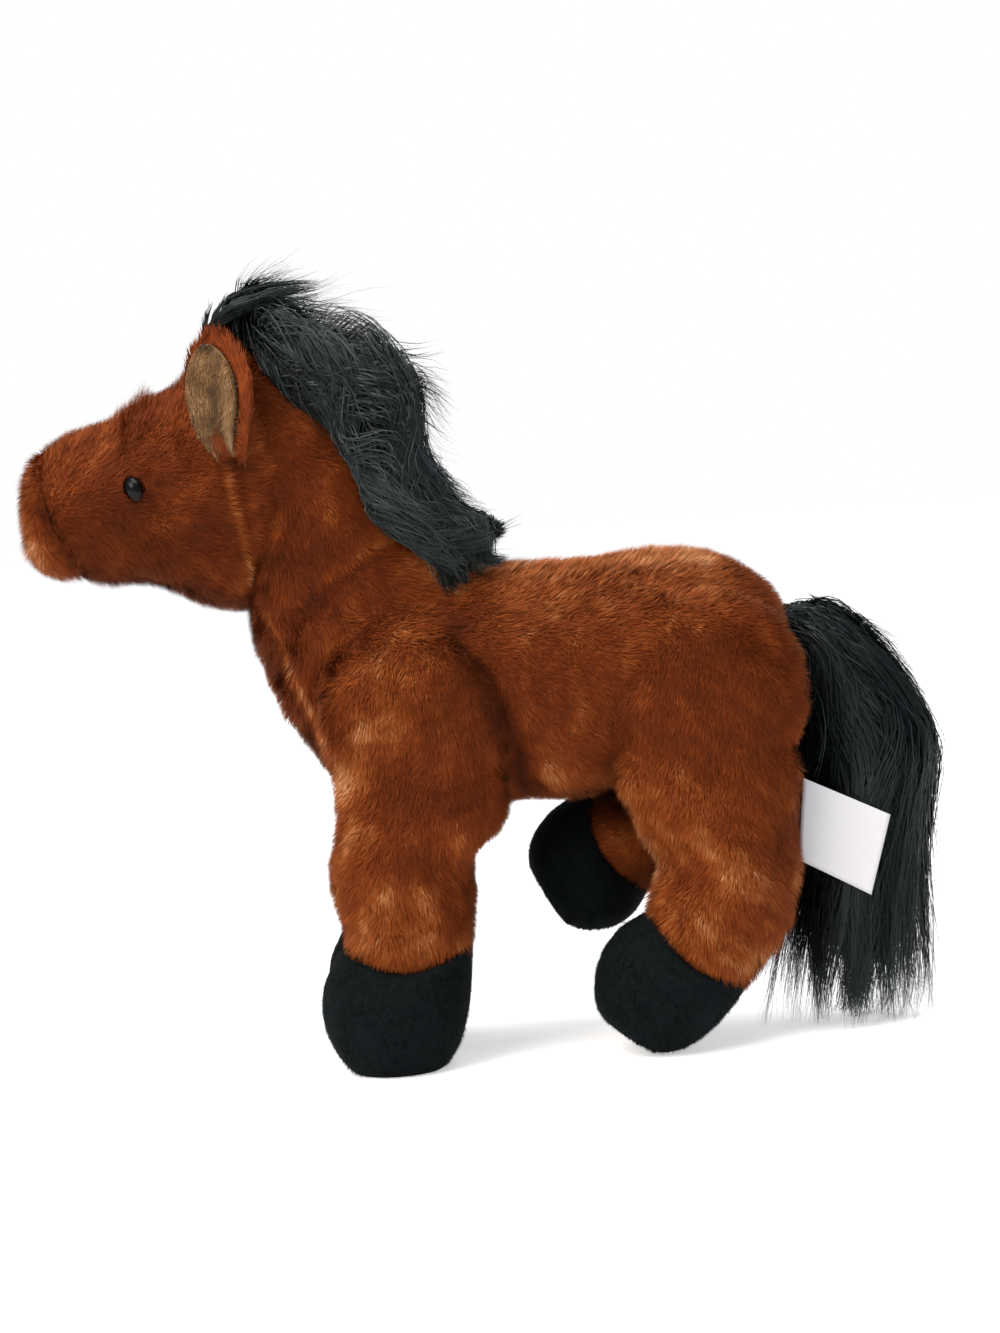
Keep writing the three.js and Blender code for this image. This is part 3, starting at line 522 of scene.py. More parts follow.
def plush_pile(name, spots, normals, comb, size, tone_and_painted_light, yarns, seed):
    """Short pile, its size as (length, width, rise): each strand is one straight blade that leans out of the
    backing the way it is combed, the more upright the greater its rise. It strays least where the cloth looks
    up, and hangs down where the comb runs into the cloth."""
    dice = np.random.default_rng(seed)
    count = len(spots)
    length, width, rise = size
    upward = np.clip(normals[:, 2], 0, 1)
    swirl = np.stack([soft_noise(spots, swirl_size, seed + axis) for axis in (1, 2, 3)], axis=1) * swirl_pull
    tufts = np.stack([soft_noise(spots, tuft_size, seed + axis) for axis in (7, 8, 9)], axis=1) * tuft_pull
    wander = (swirl + tufts) * (1 - calm_upward * upward[:, None])
    way = comb(spots) + wander + dice.normal(scale=stray_pull, size=(count, 3))
    way -= normals * (way * normals).sum(axis=1, keepdims=True)
    sideways = np.linalg.norm(way, axis=1, keepdims=True)
    hanging = np.array([0, 0, -1.0]) + normals * normals[:, 2:]
    way = unit(way + hanging * np.clip(weak_comb - sideways, 0, 1) * droop)
    height = rise * (1 + 0.06 * soft_noise(spots, 13, seed + 4)) * dice.uniform(0.7, 1.3, count)
    long = length * dice.uniform(0.7, 1.15, count) * (1 + 0.12 * soft_noise(spots, 7, seed + 12))
    lean = unit(normals * height[:, None] + way)
    across = unit(np.cross(lean, normals) + normals * dice.normal(scale=0.3, size=count)[:, None])
    half = across * (width * dice.uniform(0.75, 1.2, count) / 2)[:, None]
    root = spots - normals * root_depth
    corners = np.stack([root - half, root + half, spots + lean * long[:, None]], axis=1)
    clouds = np.maximum(cloud_strength * soft_noise(spots, cloud_size, seed + 6), darkest_cloud)
    flecks = np.maximum(fleck_strength * soft_noise(spots, fleck_size, seed + 11), darkest_fleck)
    # The marks add painted highlight and painted shade to each strand's tone; clouds and flecks are random
    # tone, weaker where the cloth looks up.
    shade = tone_and_painted_light(spots) * painted_light_and_tone_strength + (clouds + flecks) * (1 - even_upward * upward)
    middle_tone = (len(yarns) - 1) / 2
    tone = middle_tone - overall_tone + shade + dice.normal(scale=strand_strength, size=count)
    tone = np.clip(np.round(tone), 0, len(yarns) - 1).astype(int)
    facing = unit(normals + way * 0.15 + across * dice.normal(scale=0.1, size=count)[:, None])
    all_facing = np.repeat(facing[:, None, :], 3, axis=1).reshape(-1, 3)
    return strand_mesh(name, corners.reshape(-1, 3), [(0, 1, 2)], 3, count, tone, all_facing.tolist(), yarns)


# A drawn strand is far coarser than a fibre of the real pile: it stands for a small tuft of them.
pile_length = 3.1
pile_width = 0.32
pile_rise = 0.9
pile_density = 8.0
hidden_depth = 3.0
hoof_margin = 0.3
floor_clearance = 1.5
tuft_growth, tuft_width = 1.3, 2.5


def painted_light_marks(spots, marks):
    """marks = (line, width, change of tone): painted highlight where the change is above 0 and painted shade
    where it is below, fading away from the line.
    """
    change = np.zeros(len(spots))
    for line, width, amount in marks:
        change += amount * np.exp(-((distance_to_line(spots, line) / width) ** 2))
    return change


def open_spots(cover, density, seed, clearance, hiders):
    """Places for strands on a cover, above a clearance from the floor. Hiders = (piece, margin) take
    away those that lie deeper than the margin inside the piece."""
    spots, normals = scatter(cover, density, seed)
    keep = spots[:, 2] > clearance
    for piece, margin in hiders:
        keep &= ~is_inside(piece, spots, margin)
    return spots[keep], normals[keep]


def grow_pile(cover, hiders, body, comb, tone_and_painted_light, seed, parts=1, tuft=None):
    """The chestnut pile of a cover, in so many parts, and longer at a tuft."""
    spots, normals = open_spots(cover, pile_density, seed, floor_clearance, hiders)
    length = np.full(len(spots), pile_length)
    if tuft is not None:
        length *= 1 + tuft_growth * np.exp(-((distance_to_line(spots, tuft) / tuft_width) ** 2))
    order = np.argsort(spots[:, 1]) if parts > 1 else np.arange(len(spots))
    for part, chosen in enumerate(np.array_split(order, parts)):
        name = f"{cover.name}_pile" if parts == 1 else f"{cover.name}_pile_{part + 1}"
        size = (length[chosen], pile_width, pile_rise)
        pile_seed = seed + 20 + part
        piece = plush_pile(name, spots[chosen], normals[chosen], comb, size, tone_and_painted_light, chestnut_yarns, pile_seed)
        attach(piece, body)


def comb_body(spots):
    """Back and down, and steeper down the neck."""
    way = np.tile([0.75, 0.0, -0.5], (len(spots), 1))
    neck = np.clip((spots[:, 2] - 118) / 25, 0, 1)[:, None] * np.clip((-spots[:, 0] - 5) / 20, 0, 1)[:, None]
    return way * (1 - neck) + np.array([0.55, 0.0, -0.8]) * neck


shoulder_arch = [(-38, 104), (-33, 112), (-25, 117.5), (-15, 118), (-6, 113)]


def body_painted_light(spots):
    """Painted shade in the folds and low down on the body, and painted highlight on the back, along the seams
    and where the shoulder pushes out.
    """
    tone = painted_light_marks(
        spots,
        [
            (neck_fold, 1.8, -0.4),
            ([(-24, 144.5), (-33, 140.5), (-45, 134)], 1.5, 1.0),
            ([(-26, 140), (-36, 135), (-46, 129)], 3, -0.5),
            ([(-58.7, 127), (-51.3, 105.6), (-40, 80.5)], 1.3, 1.4),
            ([(-63, 122), (-57, 104), (-46, 86)], 3.5, -0.6),
            (elbow_fold, 3.6, -1.4),
            (flank_fold, 5, -0.4),
            ([(-14, 139), (20, 139), (60, 137)], 9, 1.65),
            ([(12, 124), (58, 122)], 14, 0.75),
            (shoulder_arch, 4, 0.7),
            ([(-19, 110), (-31.6, 96), (-39, 80)], 5.5, 1.2),
            ([(12, 79), (30, 75)], 4, 0.9),
            ([(14, 88), (30, 84)], 7, 0.25),
            ([(-46, 122), (-24, 124)], 10, -0.1),
            ([(74, 118), (80, 95)], 9, -0.3),
            ([(-60, 154), (-46, 142)], 13, -0.75),
        ],
    )
    # Painted shade on the lowest part of the body.
    return tone - np.clip((70 - spots[:, 2]) / 6, 0, 1) * 0.6


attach(body_cover, "body")
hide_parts("body_panel_left", "body_panel_right", "chest_belly_strip", "body_stuffing")


# Legs. Tubes of the same plush, sewn closed and stuffed, each with a rounded top that turns beside
# the body. The right hind leg is bent forward at the hock, as a horse rests it. Each row of a table
# is (along, up, angle, depth, width, inward), in shares of the leg's depth, height and width.
leg_width = 34.4
leg_spread = 22
front_depth, hind_depth = 51, 53.6
top_radius, top_half_width = 26, 12.5
front_rings = [
    (0, 1.03, 0, 0, 0, 0),
    (-0.02, 0.884, 0, 0.9, 0.62, 0),
    (0.01, 0.79, 0, 0.98, 0.7, -0.1),
    (-0.02, 0.705, 0, 0.99, 0.9, 0.6),
    (-0.145, 0.6, 0, 0.8, 1, 1),
    (-0.14, 0.495, 0, 0.785, 1, 1),
    (-0.115, 0.39, 0, 0.715, 0.98, 1),
    (-0.115, 0.335, 0, 0.65, 0.94, 1),
    (-0.13, 0.3, 0, 0, 0, 1),
]
standing_rings = [
    (0, 1.03, 0, 0, 0, 0),
    (-0.013, 0.884, 0, 0.86, 0.62, 0),
    (-0.018, 0.8, 0, 0.98, 0.68, -0.1),
    (0.01, 0.705, 0, 0.91, 0.86, 0.5),
    (0.03, 0.62, 0, 0.802, 1, 1),
    (0.075, 0.53, -3, 0.73, 1, 1),
    (0.03, 0.44, -14, 0.75, 1, 1),
    (-0.05, 0.36, -28, 0.72, 0.98, 1),
    (-0.12, 0.285, -37, 0.66, 0.94, 1),
    (-0.16, 0.25, -37, 0, 0, 1),
]
lifted_rings = [
    (0, 1.03, 0, 0, 0, 0),
    (-0.013, 0.884, 0, 0.86, 0.62, 0),
    (-0.013, 0.8, 0, 0.96, 0.68, -0.1),
    (0.017, 0.728, -11, 0.93, 0.8, 0.4),
    (0.003, 0.657, -25, 0.92, 1, 1),
    (-0.087, 0.604, -41, 0.845, 1, 1),
    (-0.214, 0.577, -56, 0.72, 1, 1),
    (-0.365, 0.56, -64, 0.66, 0.98, 1),
    (-0.498, 0.55, -63, 0.62, 0.94, 1),
    (-0.538, 0.538, -63, 0, 0, 1),
]


def leg_cover(name, shares, joint_x, depth, side):
    """One leg with the ball at its top. Going down, it moves inward from its joint to its standing place."""
    rings = [
        (
            joint_x + along * depth,
            side * (joint_spread + inward * (leg_spread - joint_spread)),
            up * joint_height,
            angle,
            deep * depth,
            wide * leg_width,
        )
        for along, up, angle, deep, wide, inward in shares
    ]
    top = stuffed_ball(joint_x, side * joint_spread, joint_height, top_radius, top_half_width)
    cover = sewn_cover(f"leg_cover_{name}", [stuffed_form(rings), top], voxel=1.4, smoothing=10)
    cover.data.materials.append(chestnut_backing)
    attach(cover, f"leg_{name}")
    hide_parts(f"leg_{name}", f"leg_stuffing_{name}")
    return cover


leg_covers = {
    "front_left": leg_cover("front_left", front_rings, shoulder_x, front_depth, -1),
    "front_right": leg_cover("front_right", front_rings, shoulder_x, front_depth, 1),
    "hind_left": leg_cover("hind_left", standing_rings, hip_x, hind_depth, -1),
    "hind_right": leg_cover("hind_right", lifted_rings, hip_x, hind_depth, 1),
}
stifle_edge = [(32, 75.5), (36, 67), (39, 58.7), (43, 50.3)]
for number, (name, cover) in enumerate(leg_covers.items()):
    press_folds(cover, [], lump_size=20, lump_depth=0.45, seed=31 + number)


# Hooves. Black velour caps sewn round the end of each leg and weighted with pellets, so that they
# bulge over their flat soles. Each ring is (up, forward, girth), in shares of the hoof's sizes.
hoof_rings = [
    (0, 1, 0),
    (0, 1, 0.25),
    (0, 1, 0.48),
    (0.05, 1, 0.62),
    (0.13, 1, 0.74),
    (0.3, 1, 0.89),
    (0.5, 0.98, 0.98),
    (0.68, 0.8, 1),
    (0.84, 0.45, 0.95),
    (0.96, 0.1, 0.86),
    (1.02, 0.05, 0.6),
    (1.02, 0.05, 0),
]
# Velour is cut short and dense: it swallows light, and greys a little where it is seen edge on.
velour_blacks = dyed_yarns(
    "black_velour",
    ("#040708", "#0a1012", "#141d20"),
    {
        "Roughness": 0.9,
        "Specular IOR Level": 0.06,
        "Sheen Weight": 0.07,
        "Sheen Roughness": 0.45,
        "Sheen Tint": from_hex("#7a868c"),
    },
)
# Its ground is a dull black. The patches are coarser than the weave, so that some unevenness shows.
nap_patch = 3
ground_looks = {"Roughness": 0.9, "Specular IOR Level": 0.1}
velour_ground = cloth_ground("black_velour_ground", nap_patch, "#070b0c", "#0d1315", ground_looks)
velour_inset = 0.6
thinnest_cap = 0.05
cuff_wave = 3.2
cuff_start, cuff_share = 0.55, 0.45
cuff_drop = 0.8
sole_height = 0.15


def grid_faces(rows, columns, closed=False):
    """Four-sided faces between rows of points. A closed grid joins the last column to the first."""
    faces = []
    for row in range(rows - 1):
        for column in range(columns if closed else columns - 1):
            after = (column + 1) % columns
            here, there = row * columns, (row + 1) * columns
            faces.append((here + column, here + after, there + after, there + column))
    return faces


def hoof_cover(name, cuff_x, cuff_z, cuff_angle, diameter, width, height, forward, side):
    """A cap that hangs from its cuff. The cuff's edge waves, and its seam is drawn in."""
    rows = rounded_path([(shift, 0, up, 0, girth, girth) for up, shift, girth in hoof_rings], 5)
    sides = 56
    around = np.linspace(0, 2 * math.pi, sides, endpoint=False)
    turn = math.radians(cuff_angle)
    points = []
    for shift, _, up, _, girth, _ in rows:
        x = -shift * forward + np.cos(around) * max(girth * diameter / 2 - velour_inset, thinnest_cap)
        y = np.sin(around) * max(girth * width / 2 - velour_inset, thinnest_cap)
        in_cuff = min(max((up - cuff_start) / cuff_share, 0), 1)
        z = (up - 1) * height + cuff_wave * np.cos(2 * around) * in_cuff - cuff_drop
        ring = [
            cuff_x + x * math.cos(turn) + z * math.sin(turn),
            side * leg_spread + y,
            cuff_z - x * math.sin(turn) + z * math.cos(turn),
        ]
        points.append(np.stack(ring, axis=1))
    points = np.vstack(points)
    points[:, 2] = np.maximum(points[:, 2], sole_height)
    piece = link_mesh(f"hoof_cover_{name}", points, grid_faces(len(rows), sides, closed=True))
    piece.data.shade_smooth()
    piece.data.materials.append(velour_ground)
    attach(piece, f"leg_{name}")
    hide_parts(f"hoof_{name}", f"hoof_sole_{name}", f"pellet_bag_{name}")
    return piece


hoof_covers = {
    "front_left": hoof_cover("front_left", -27, 33, 0, 41.6, 38.6, 33.5, forward=4.5, side=-1),
    "front_right": hoof_cover("front_right", -27, 33, 0, 41.6, 38.6, 33.5, forward=4.5, side=1),
    "hind_left": hoof_cover("hind_left", 52, 28, 37, 38.6, 36.4, 29.5, forward=3, side=-1),
    "hind_right": hoof_cover("hind_right", 32.3, 52.5, 63, 38.6, 36.4, 23.5, forward=-2.5, side=1),
}


# Pile of the body, the legs and the hooves. It is the cut face of the same plush and velour, knitted
# into their backing. On the body it is combed back and down, and down each leg, where it hangs a
# little over the hoof.
def comb_leg(spots):
    """Straight down the leg."""
    return np.tile([-0.1, 0.0, -1.0], (len(spots), 1))


def comb_lifted(spots):
    """Down the thigh, then forward along the bent shin."""
    bent = np.clip((70 - spots[:, 2]) / 15, 0, 1)[:, None] * np.clip((62 - spots[:, 0]) / 10, 0, 1)[:, None]
    return np.array([-0.1, 0, -1.0]) * (1 - bent) + np.array([-0.9, 0, -0.4]) * bent


def front_leg_painted_light(spots):
    """Painted highlight down the front of the leg, and painted shade behind the elbow."""
    # Painted highlight that grows towards the hoof and the front of the leg.
    lower = np.clip((80 - spots[:, 2]) / 25, 0, 1) * np.clip((2 - spots[:, 0]) / 20, 0.35, 1)
    return 0.65 * lower + painted_light_marks(
        spots,
        [
            (elbow_fold, 3.6, -1.4),
            ([(-19, 110), (-31.6, 96), (-39, 80)], 5.5, 1.0),
            (shoulder_arch, 4, 0.7),
            ([(-40, 77), (-41.5, 62)], 4.5, 0.6),
            ([(-36, 44), (-22, 40)], 4, 0.5),
            ([(-20, 76), (-8, 74)], 6, -0.5),
            ([(-30, 60), (-18, 58)], 5, -0.4),
            ([(-14, 40), (-10, 55)], 4, -0.3),
        ],
    )


def hind_leg_painted_light(spots):
    """Painted highlight towards the hoof and along the stifle, and painted shade on the inner side."""
    lower = np.clip((70 - spots[:, 2]) / 25, 0, 1)
    edge = painted_light_marks(
        spots,
        [
            (stifle_edge, 3.5, 1.2),
            ([(38, 74), (54, 70)], 6, 0.7),
            ([(48, 60), (56, 66)], 7, 0.4),
            ([(50, 38), (60, 30)], 5, 0.6),
            ([(62, 38), (74, 40)], 5, -0.4),
            ([(80, 100), (82, 70)], 5, 0.3),
        ],
    )
    return 0.65 * lower + edge - np.clip((spots[:, 1] + 12) / 10, 0, 1) * 0.6


def lifted_leg_painted_light(spots):
    # Painted highlight on the thigh and along the bent shin, and the leg a little darker overall.
    return painted_light_marks(spots, [([(18, 66), (34, 70)], 6, 0.9), ([(34, 52), (44, 58)], 5, 0.6)]) - 0.1


leg_hiders = [(cover, hidden_depth) for cover in leg_covers.values()]
grow_pile(body_cover, leg_hiders, "body", comb_body, body_painted_light, 41, parts=3)
for number, (name, tone) in enumerate(
    (
        ("front_left", front_leg_painted_light),
        ("front_right", front_leg_painted_light),
        ("hind_left", hind_leg_painted_light),
        ("hind_right", lifted_leg_painted_light),
    )
):
    comb = comb_lifted if name == "hind_right" else comb_leg
    hiders = [(body_cover, hidden_depth), (hoof_covers[name], hoof_margin)]
    grow_pile(leg_covers[name], hiders, f"leg_{name}", comb, tone, 51 + number)


def even_tone(spots):
    return np.zeros(len(spots))


nap_size = (1.1, 0.26, 0.9)
nap_density = 5.0
nap_clearance, leg_margin = 0.9, 0.2
for number, (name, cover) in enumerate(hoof_covers.items()):
    hiders = [(leg_covers[name], leg_margin)]
    spots, normals = open_spots(cover, nap_density, 71 + number, nap_clearance, hiders)
    nap = plush_pile(
        f"hoof_nap_{name}", spots, normals, comb_leg, nap_size, even_tone, velour_blacks, 75 + number
    )
    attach(nap, f"leg_{name}")


# Head. Two side panels and a forehead strip of the same plush, stuffed, with a soft square muzzle,
# full cheeks and a deep seam where the cheeks meet the neck.
head_rings = [
    (-123.6, 0, 157, 90, 0, 0),
    (-122.2, 0, 156.5, 90, 26, 22),
    (-118.5, 0, 156.8, 90, 36, 30),
    (-110.5, 0, 158.2, 90, 41.5, 35),
    (-100, 0, 158.9, 90, 46.5, 40),
    (-90, 0, 160.8, 90, 52, 45),
    (-80, 0, 160, 90, 61, 50),
    (-71, 0, 162.1, 90, 71.5, 53),
    (-65, 0, 162.5, 90, 73, 52),
    (-60, 0, 163.5, 90, 66, 50),
    (-56.5, 0, 163.5, 90, 0, 0),
]
head_cover = sewn_cover("head_cover", [stuffed_form(head_rings)], voxel=1.5, smoothing=8)
head_cover.data.materials.append(chestnut_backing)
muzzle_crease = [(-117.5, 158), (-114.5, 147), (-108.6, 137.5)]
nostril = [(-118.6, 160), (-117.4, 156)]
eye_hollow = [(-92.5, 164), (-90, 160)]
cheek_crease = [(-77, 144), (-70, 133)]
brow_crease = [(-97, 178), (-98, 168)]
brow_fold = [(-100, 180), (-101, 172), (-108, 164)]
cheek_seam = [(-63, 166), (-62, 148), (-61, 134)]
press_folds(
    head_cover,
    [
        (muzzle_crease, 1.2, 2.0),
        (nostril, 1.6, 2.2),
        (eye_hollow, 1.6, 5),
        (cheek_crease, 0.7, 3.0),
        (brow_crease, 0.8, 2.6),
        (cheek_seam, 1.2, 2.0),
    ],
    lump_size=22,
    lump_depth=0.5,
    seed=91,
)
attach(head_cover, "head")
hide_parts("head_panel_left", "head_panel_right", "forehead_strip", "head_stuffing")
nose_tip = [-128, 0, 157]
nose_start, nose_blend = -116, 4


def comb_head(spots):
    """Away from the tip of the nose, and straight down on the front of the nose itself."""
    way = unit(spots - np.array(nose_tip)) + np.array([0.3, 0, -0.15])
    nose = np.clip((nose_start - spots[:, 0]) / nose_blend, 0, 1)[:, None]
    return way * (1 - nose) + np.array([0, 0, -1.0]) * nose


def head_painted_light(spots):
    """Painted shade in the creases, the nostril, round the eye and under the cheek, and painted highlight on
    the nose, the brow and the seams.
    """
    return painted_light_marks(
        spots,
        [
            (muzzle_crease, 1.8, -0.6),
            (nostril, 2.0, -0.7),
            ([(-122, 150), (-119, 142), (-112.5, 137.5)], 3, 0.8),
            ([(-123, 170), (-116, 175), (-108, 179)], 4, 0.7),
            ([(-124, 168), (-125, 160), (-124.5, 148)], 4.5, 1.4),
            (eye_hollow, 4.0, -0.8),
            (cheek_crease, 2.0, 0.6),
            (brow_fold, 1.8, 0.8),
            ([(-67.5, 168), (-66, 156), (-64.5, 148), (-63.5, 139), (-64, 132)], 1.0, 1.5),
            ([(-92, 152), (-72, 150)], 12, -0.6),
            ([(-68, 170), (-77, 179)], 1.6, 0.9),
            ([(-104, 150), (-96, 152)], 5, -0.25),
            ([(-104, 138), (-85, 136), (-72, 131)], 6, -0.6),
        ],
    )


# Eyes. Glossy black plastic buttons with a moulded rim, each pushed through the panel on a stem and
# held by a washer inside, half buried in the pile.
# Polished plastic: black, with one small clear highlight of the lamp.
eye_plastic, tree = new_material("black_eye_plastic")
gloss = add_node(
    tree,
    "ShaderNodeBsdfPrincipled",
    inputs={"Base Color": from_hex("#050505"), "Roughness": 0.24, "Specular IOR Level": 0.13},
)
add_node(tree, "ShaderNodeOutputMaterial", inputs={"Surface": gloss.outputs[0]})
eye_front = 3.5
eye_rows = [(0, eye_front), (0.7, 3.45), (1.4, 3.3), (2.1, 3.0), (2.8, 2.5), (3.4, 1.9), (3.9, 1.1)]
eye_rows += [(4.2, 0.3), (4.25, -0.2), (3.9, -0.7), (1.5, -0.9), (1.5, -5), (1.2, -6.5), (0, -6.6)]
eye_x, eye_z = -91.2, 162
eye_sink = 2.2
eye_narrowing = 0.74
eye_slant = math.radians(24)
eye_corners = 40
smallest_radius = 0.02
for name, side in (("left", -1), ("right", 1)):
    low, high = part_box(f"eye_{name}")
    face_y = (low[1] if side < 0 else high[1]) / mm
    points = []
    for radius, out in eye_rows:
        for step in range(eye_corners):
            turn = 2 * math.pi * step / eye_corners
            across = max(radius, smallest_radius) * math.cos(turn) * eye_narrowing
            tall = max(radius, smallest_radius) * math.sin(turn)
            x = eye_x + across * math.cos(eye_slant) - tall * math.sin(eye_slant)
            z = eye_z + across * math.sin(eye_slant) + tall * math.cos(eye_slant)
            points.append((x, face_y + side * (out - eye_front - eye_sink), z))
    faces = grid_faces(len(eye_rows), eye_corners, closed=True)
    if side > 0:
        faces = [face[::-1] for face in faces]
    eye = link_mesh(f"eye_button_{name}", points, faces)
    eye.data.shade_smooth()
    eye.data.materials.append(eye_plastic)
    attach(eye, "head")
    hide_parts(f"eye_{name}", f"eye_washer_{name}")
brow_tuft = [(-97, 183.5), (-92, 185.5)]
grow_pile(head_cover, [(body_cover, hidden_depth)], "head", comb_head, head_painted_light, 101, tuft=brow_tuft)


# Ears. Each is a leaf of plush lined with tan plush, folded down its middle and sewn upright into
# the seam behind the cheek, with its root tucked into the pile of the head.
ear_length, ear_width = 35, 21
ear_x, ear_y, ear_z = -64.0, 29.0, 167.7
ear_turn, ear_lean, ear_tip_turn = 20, 4, -6
ear_tuck, tuck_share = 3.8, 0.2
ear_cup = 2.6
ear_fold, ear_fold_width = 1.1, 0.25
# Tan pile is paler and a little silkier than the chestnut, over a dull knit of its own.
tan_yarns = dyed_yarns(
    "tan_plush_pile",
    ("#523a21", "#715132", "#8f6942", "#ac845b"),
    {"Roughness": 0.7, "Specular IOR Level": 0.25, "Sheen Weight": 0.2},
)
tan_backing = cloth_ground("tan_knit_backing", backing_patch, "#5f4529", "#7d6040", backing_looks)


def turned_by(points, first, second, angle):
    """Points turned by an angle in radians, from the first of two axes towards the second."""
    made = points.copy()
    made[:, first] = points[:, first] * math.cos(angle) - points[:, second] * math.sin(angle)
    made[:, second] = points[:, first] * math.sin(angle) + points[:, second] * math.cos(angle)
    return made


def ear_leaf(name, side, size, thickness, outward, narrowing=1.0, shift=0.0):
    """A cupped leaf: rows from the root to the tip, columns from edge to edge, on its front and its back."""
    rows, columns = 22, 13
    front, back = [], []
    for row in range(rows):
        along = row / (rows - 1)
        belly = 0.34 + 1.7 * along * (1 - along) + 0.32 * along
        closing = math.sqrt(max(1 - along**6, 0.02))
        half = ear_width * size * narrowing / 2 * belly * closing
        height = ear_length * (1 - size) / 2 + along * ear_length * size
        for column in range(columns):
            across = 2 * column / (columns - 1) - 1
            fold = ear_fold * math.exp(-((across / ear_fold_width) ** 2)) * (1 - along)
            cup = ear_cup * (1 - along * 0.4) * across**2 - fold
            cup -= ear_tuck * max(1 - along / tuck_share, 0)
            edge = 1 - max(abs(across), along**2) ** 4
            place = across * half + shift
            front.append((place, height, outward + thickness * edge + cup))
            back.append((place, height, outward - thickness * 0.2 * edge + cup))
    points = np.array(front + back)
    points = np.stack([points[:, 0], -points[:, 2], points[:, 1]], axis=1)
    points = turned_by(points, 0, 2, -math.radians(ear_tip_turn))
    points[:, 1] *= -side
    points = turned_by(points, 1, 2, side * math.radians(ear_lean))
    points = turned_by(points, 0, 1, side * math.radians(ear_turn))
    points += np.array([ear_x, side * ear_y, ear_z])
    faces = []
    half_count = rows * columns
    for quad in grid_faces(rows, columns):
        faces.append(quad)
        faces.append(tuple(half_count + corner for corner in reversed(quad)))
    border = list(range(columns))
    border += [row * columns + columns - 1 for row in range(1, rows)]
    border += [(rows - 1) * columns + column for column in range(columns - 2, -1, -1)]
    border += [row * columns for row in range(rows - 2, 0, -1)]
    for here, after in zip(border, border[1:] + border[:1]):
        faces.append((after, here, half_count + here, half_count + after))
    if side > 0:
        faces = [face[::-1] for face in faces]
    piece = link_mesh(name, points, faces)
    piece.data.shade_smooth()
    return piece


def comb_ear(spots):
    """Up to the tip."""
    return np.tile([-0.05, 0.0, 1.0], (len(spots), 1))


def comb_lining(spots):
    """Down to the root."""
    return np.tile([0.1, 0.0, -1.0], (len(spots), 1))


def tone_ear(spots):
    return np.full(len(spots), -0.15)


def lining_painted_light(spots):
    """Painted shade down the fold in the middle of the lining, and painted highlight along its front edge."""
    fold = [(-67.4, 188), (-66.8, 176)]
    front_edge = [(-63.6, 195), (-64.3, 173)]
    return painted_light_marks(spots, [(fold, 1.7, -1.1), (front_edge, 1.1, 0.7)])


ear_density = 8.0
rim_size = (3.2, 0.34, 0.7)
lining_size = (2.2, 0.32, 0.7)
root_margin, rim_gap = 0.5, 1.3
for name, side in (("left", -1), ("right", 1)):
    back = ear_leaf(f"ear_back_{name}", side, size=1.0, thickness=2.0, outward=0.0)
    back.data.materials.append(chestnut_backing)
    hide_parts(f"ear_{name}")
    lining = ear_leaf(
        f"ear_front_{name}", side, size=0.84, thickness=0.9, outward=1.6, narrowing=0.9, shift=-1.6
    )
    lining.data.materials.append(tan_backing)
    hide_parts(f"ear_lining_{name}")
    spots, normals = open_spots(back, ear_density, 121 + side, floor_clearance, [(head_cover, root_margin)])
    clear = ~is_near(lining, spots, rim_gap)
    spots, normals = spots[clear], normals[clear]
    rim = plush_pile(
        f"ear_back_{name}_pile", spots, normals, comb_ear, rim_size, tone_ear, chestnut_yarns, 131 + side
    )
    spots, normals = open_spots(lining, ear_density, 141 + side, floor_clearance, [(head_cover, root_margin)])
    short = plush_pile(
        f"ear_front_{name}_pile", spots, normals, comb_lining, lining_size, lining_painted_light, tan_yarns, 151 + side
    )
    for piece in (back, lining, rim, short):
        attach(piece, f"ear_{name}")


# Mane, forelock and tail. Long black pile fabric, cut in strips and sewn into the crest, the poll
# and the rump. Its fibres clump into locks, wave a little and catch a cool light. A drawn strand is
# coarser than a fibre and stands for a few of them.
hair_blacks = dyed_yarns(
    "black_long_pile",
    ("#020303", "#050707", "#0b0f10", "#181f21", "#2b3437"),
    {
        "Roughness": 0.45,
        "Specular IOR Level": 0.36,
        "Specular Tint": from_hex("#dcebe9"),
        "Sheen Weight": 0.04,
        "Sheen Tint": from_hex("#8fa6b0"),
    },
)
strand_segments = 10
strand_width = 0.3
# Shares of the locks that end in a wisp and of the strands that stray, and how far along a strand it
# has left its root, begins to flick out, and has begun to thin, counted back from its end.
wisp_share, stray_share = 0.3, 0.05
rooted_share, flick_start, thin_share = 0.38, 0.5, 0.3
closing = 0.86
crest_scatter = 3.0
hair_clearance = 2.3
front_scatter = 3.5
hair_floor = 0.8
middle_black = 1.45


def held_behind(points, line, offsets):
    """Points that lie ahead of a line in the side view are moved back behind it, by offsets more."""
    farthest_push = 30
    line = np.array(line, float)
    flat = points[..., [0, 2]]
    best = np.full(flat.shape[:-1], 1e9)
    ahead = np.zeros(flat.shape[:-1])
    way = np.zeros(flat.shape)
    for start, end in zip(line[:-1], line[1:]):
        along = end - start
        share = np.clip((flat - start) @ along / (along @ along), 0, 1)
        off = flat - start - share[..., None] * along
        distance = np.linalg.norm(off, axis=-1)
        back = np.array([-along[1], along[0]]) / np.linalg.norm(along)
        nearer = distance < best
        best[nearer] = distance[nearer]
        ahead[nearer] = -(off @ back)[nearer]
        way[nearer] = back
    push = np.clip(ahead + offsets, 0, farthest_push)[..., None] * way
    points[..., 0] += push[..., 0]
    points[..., 2] += push[..., 1]
    return points


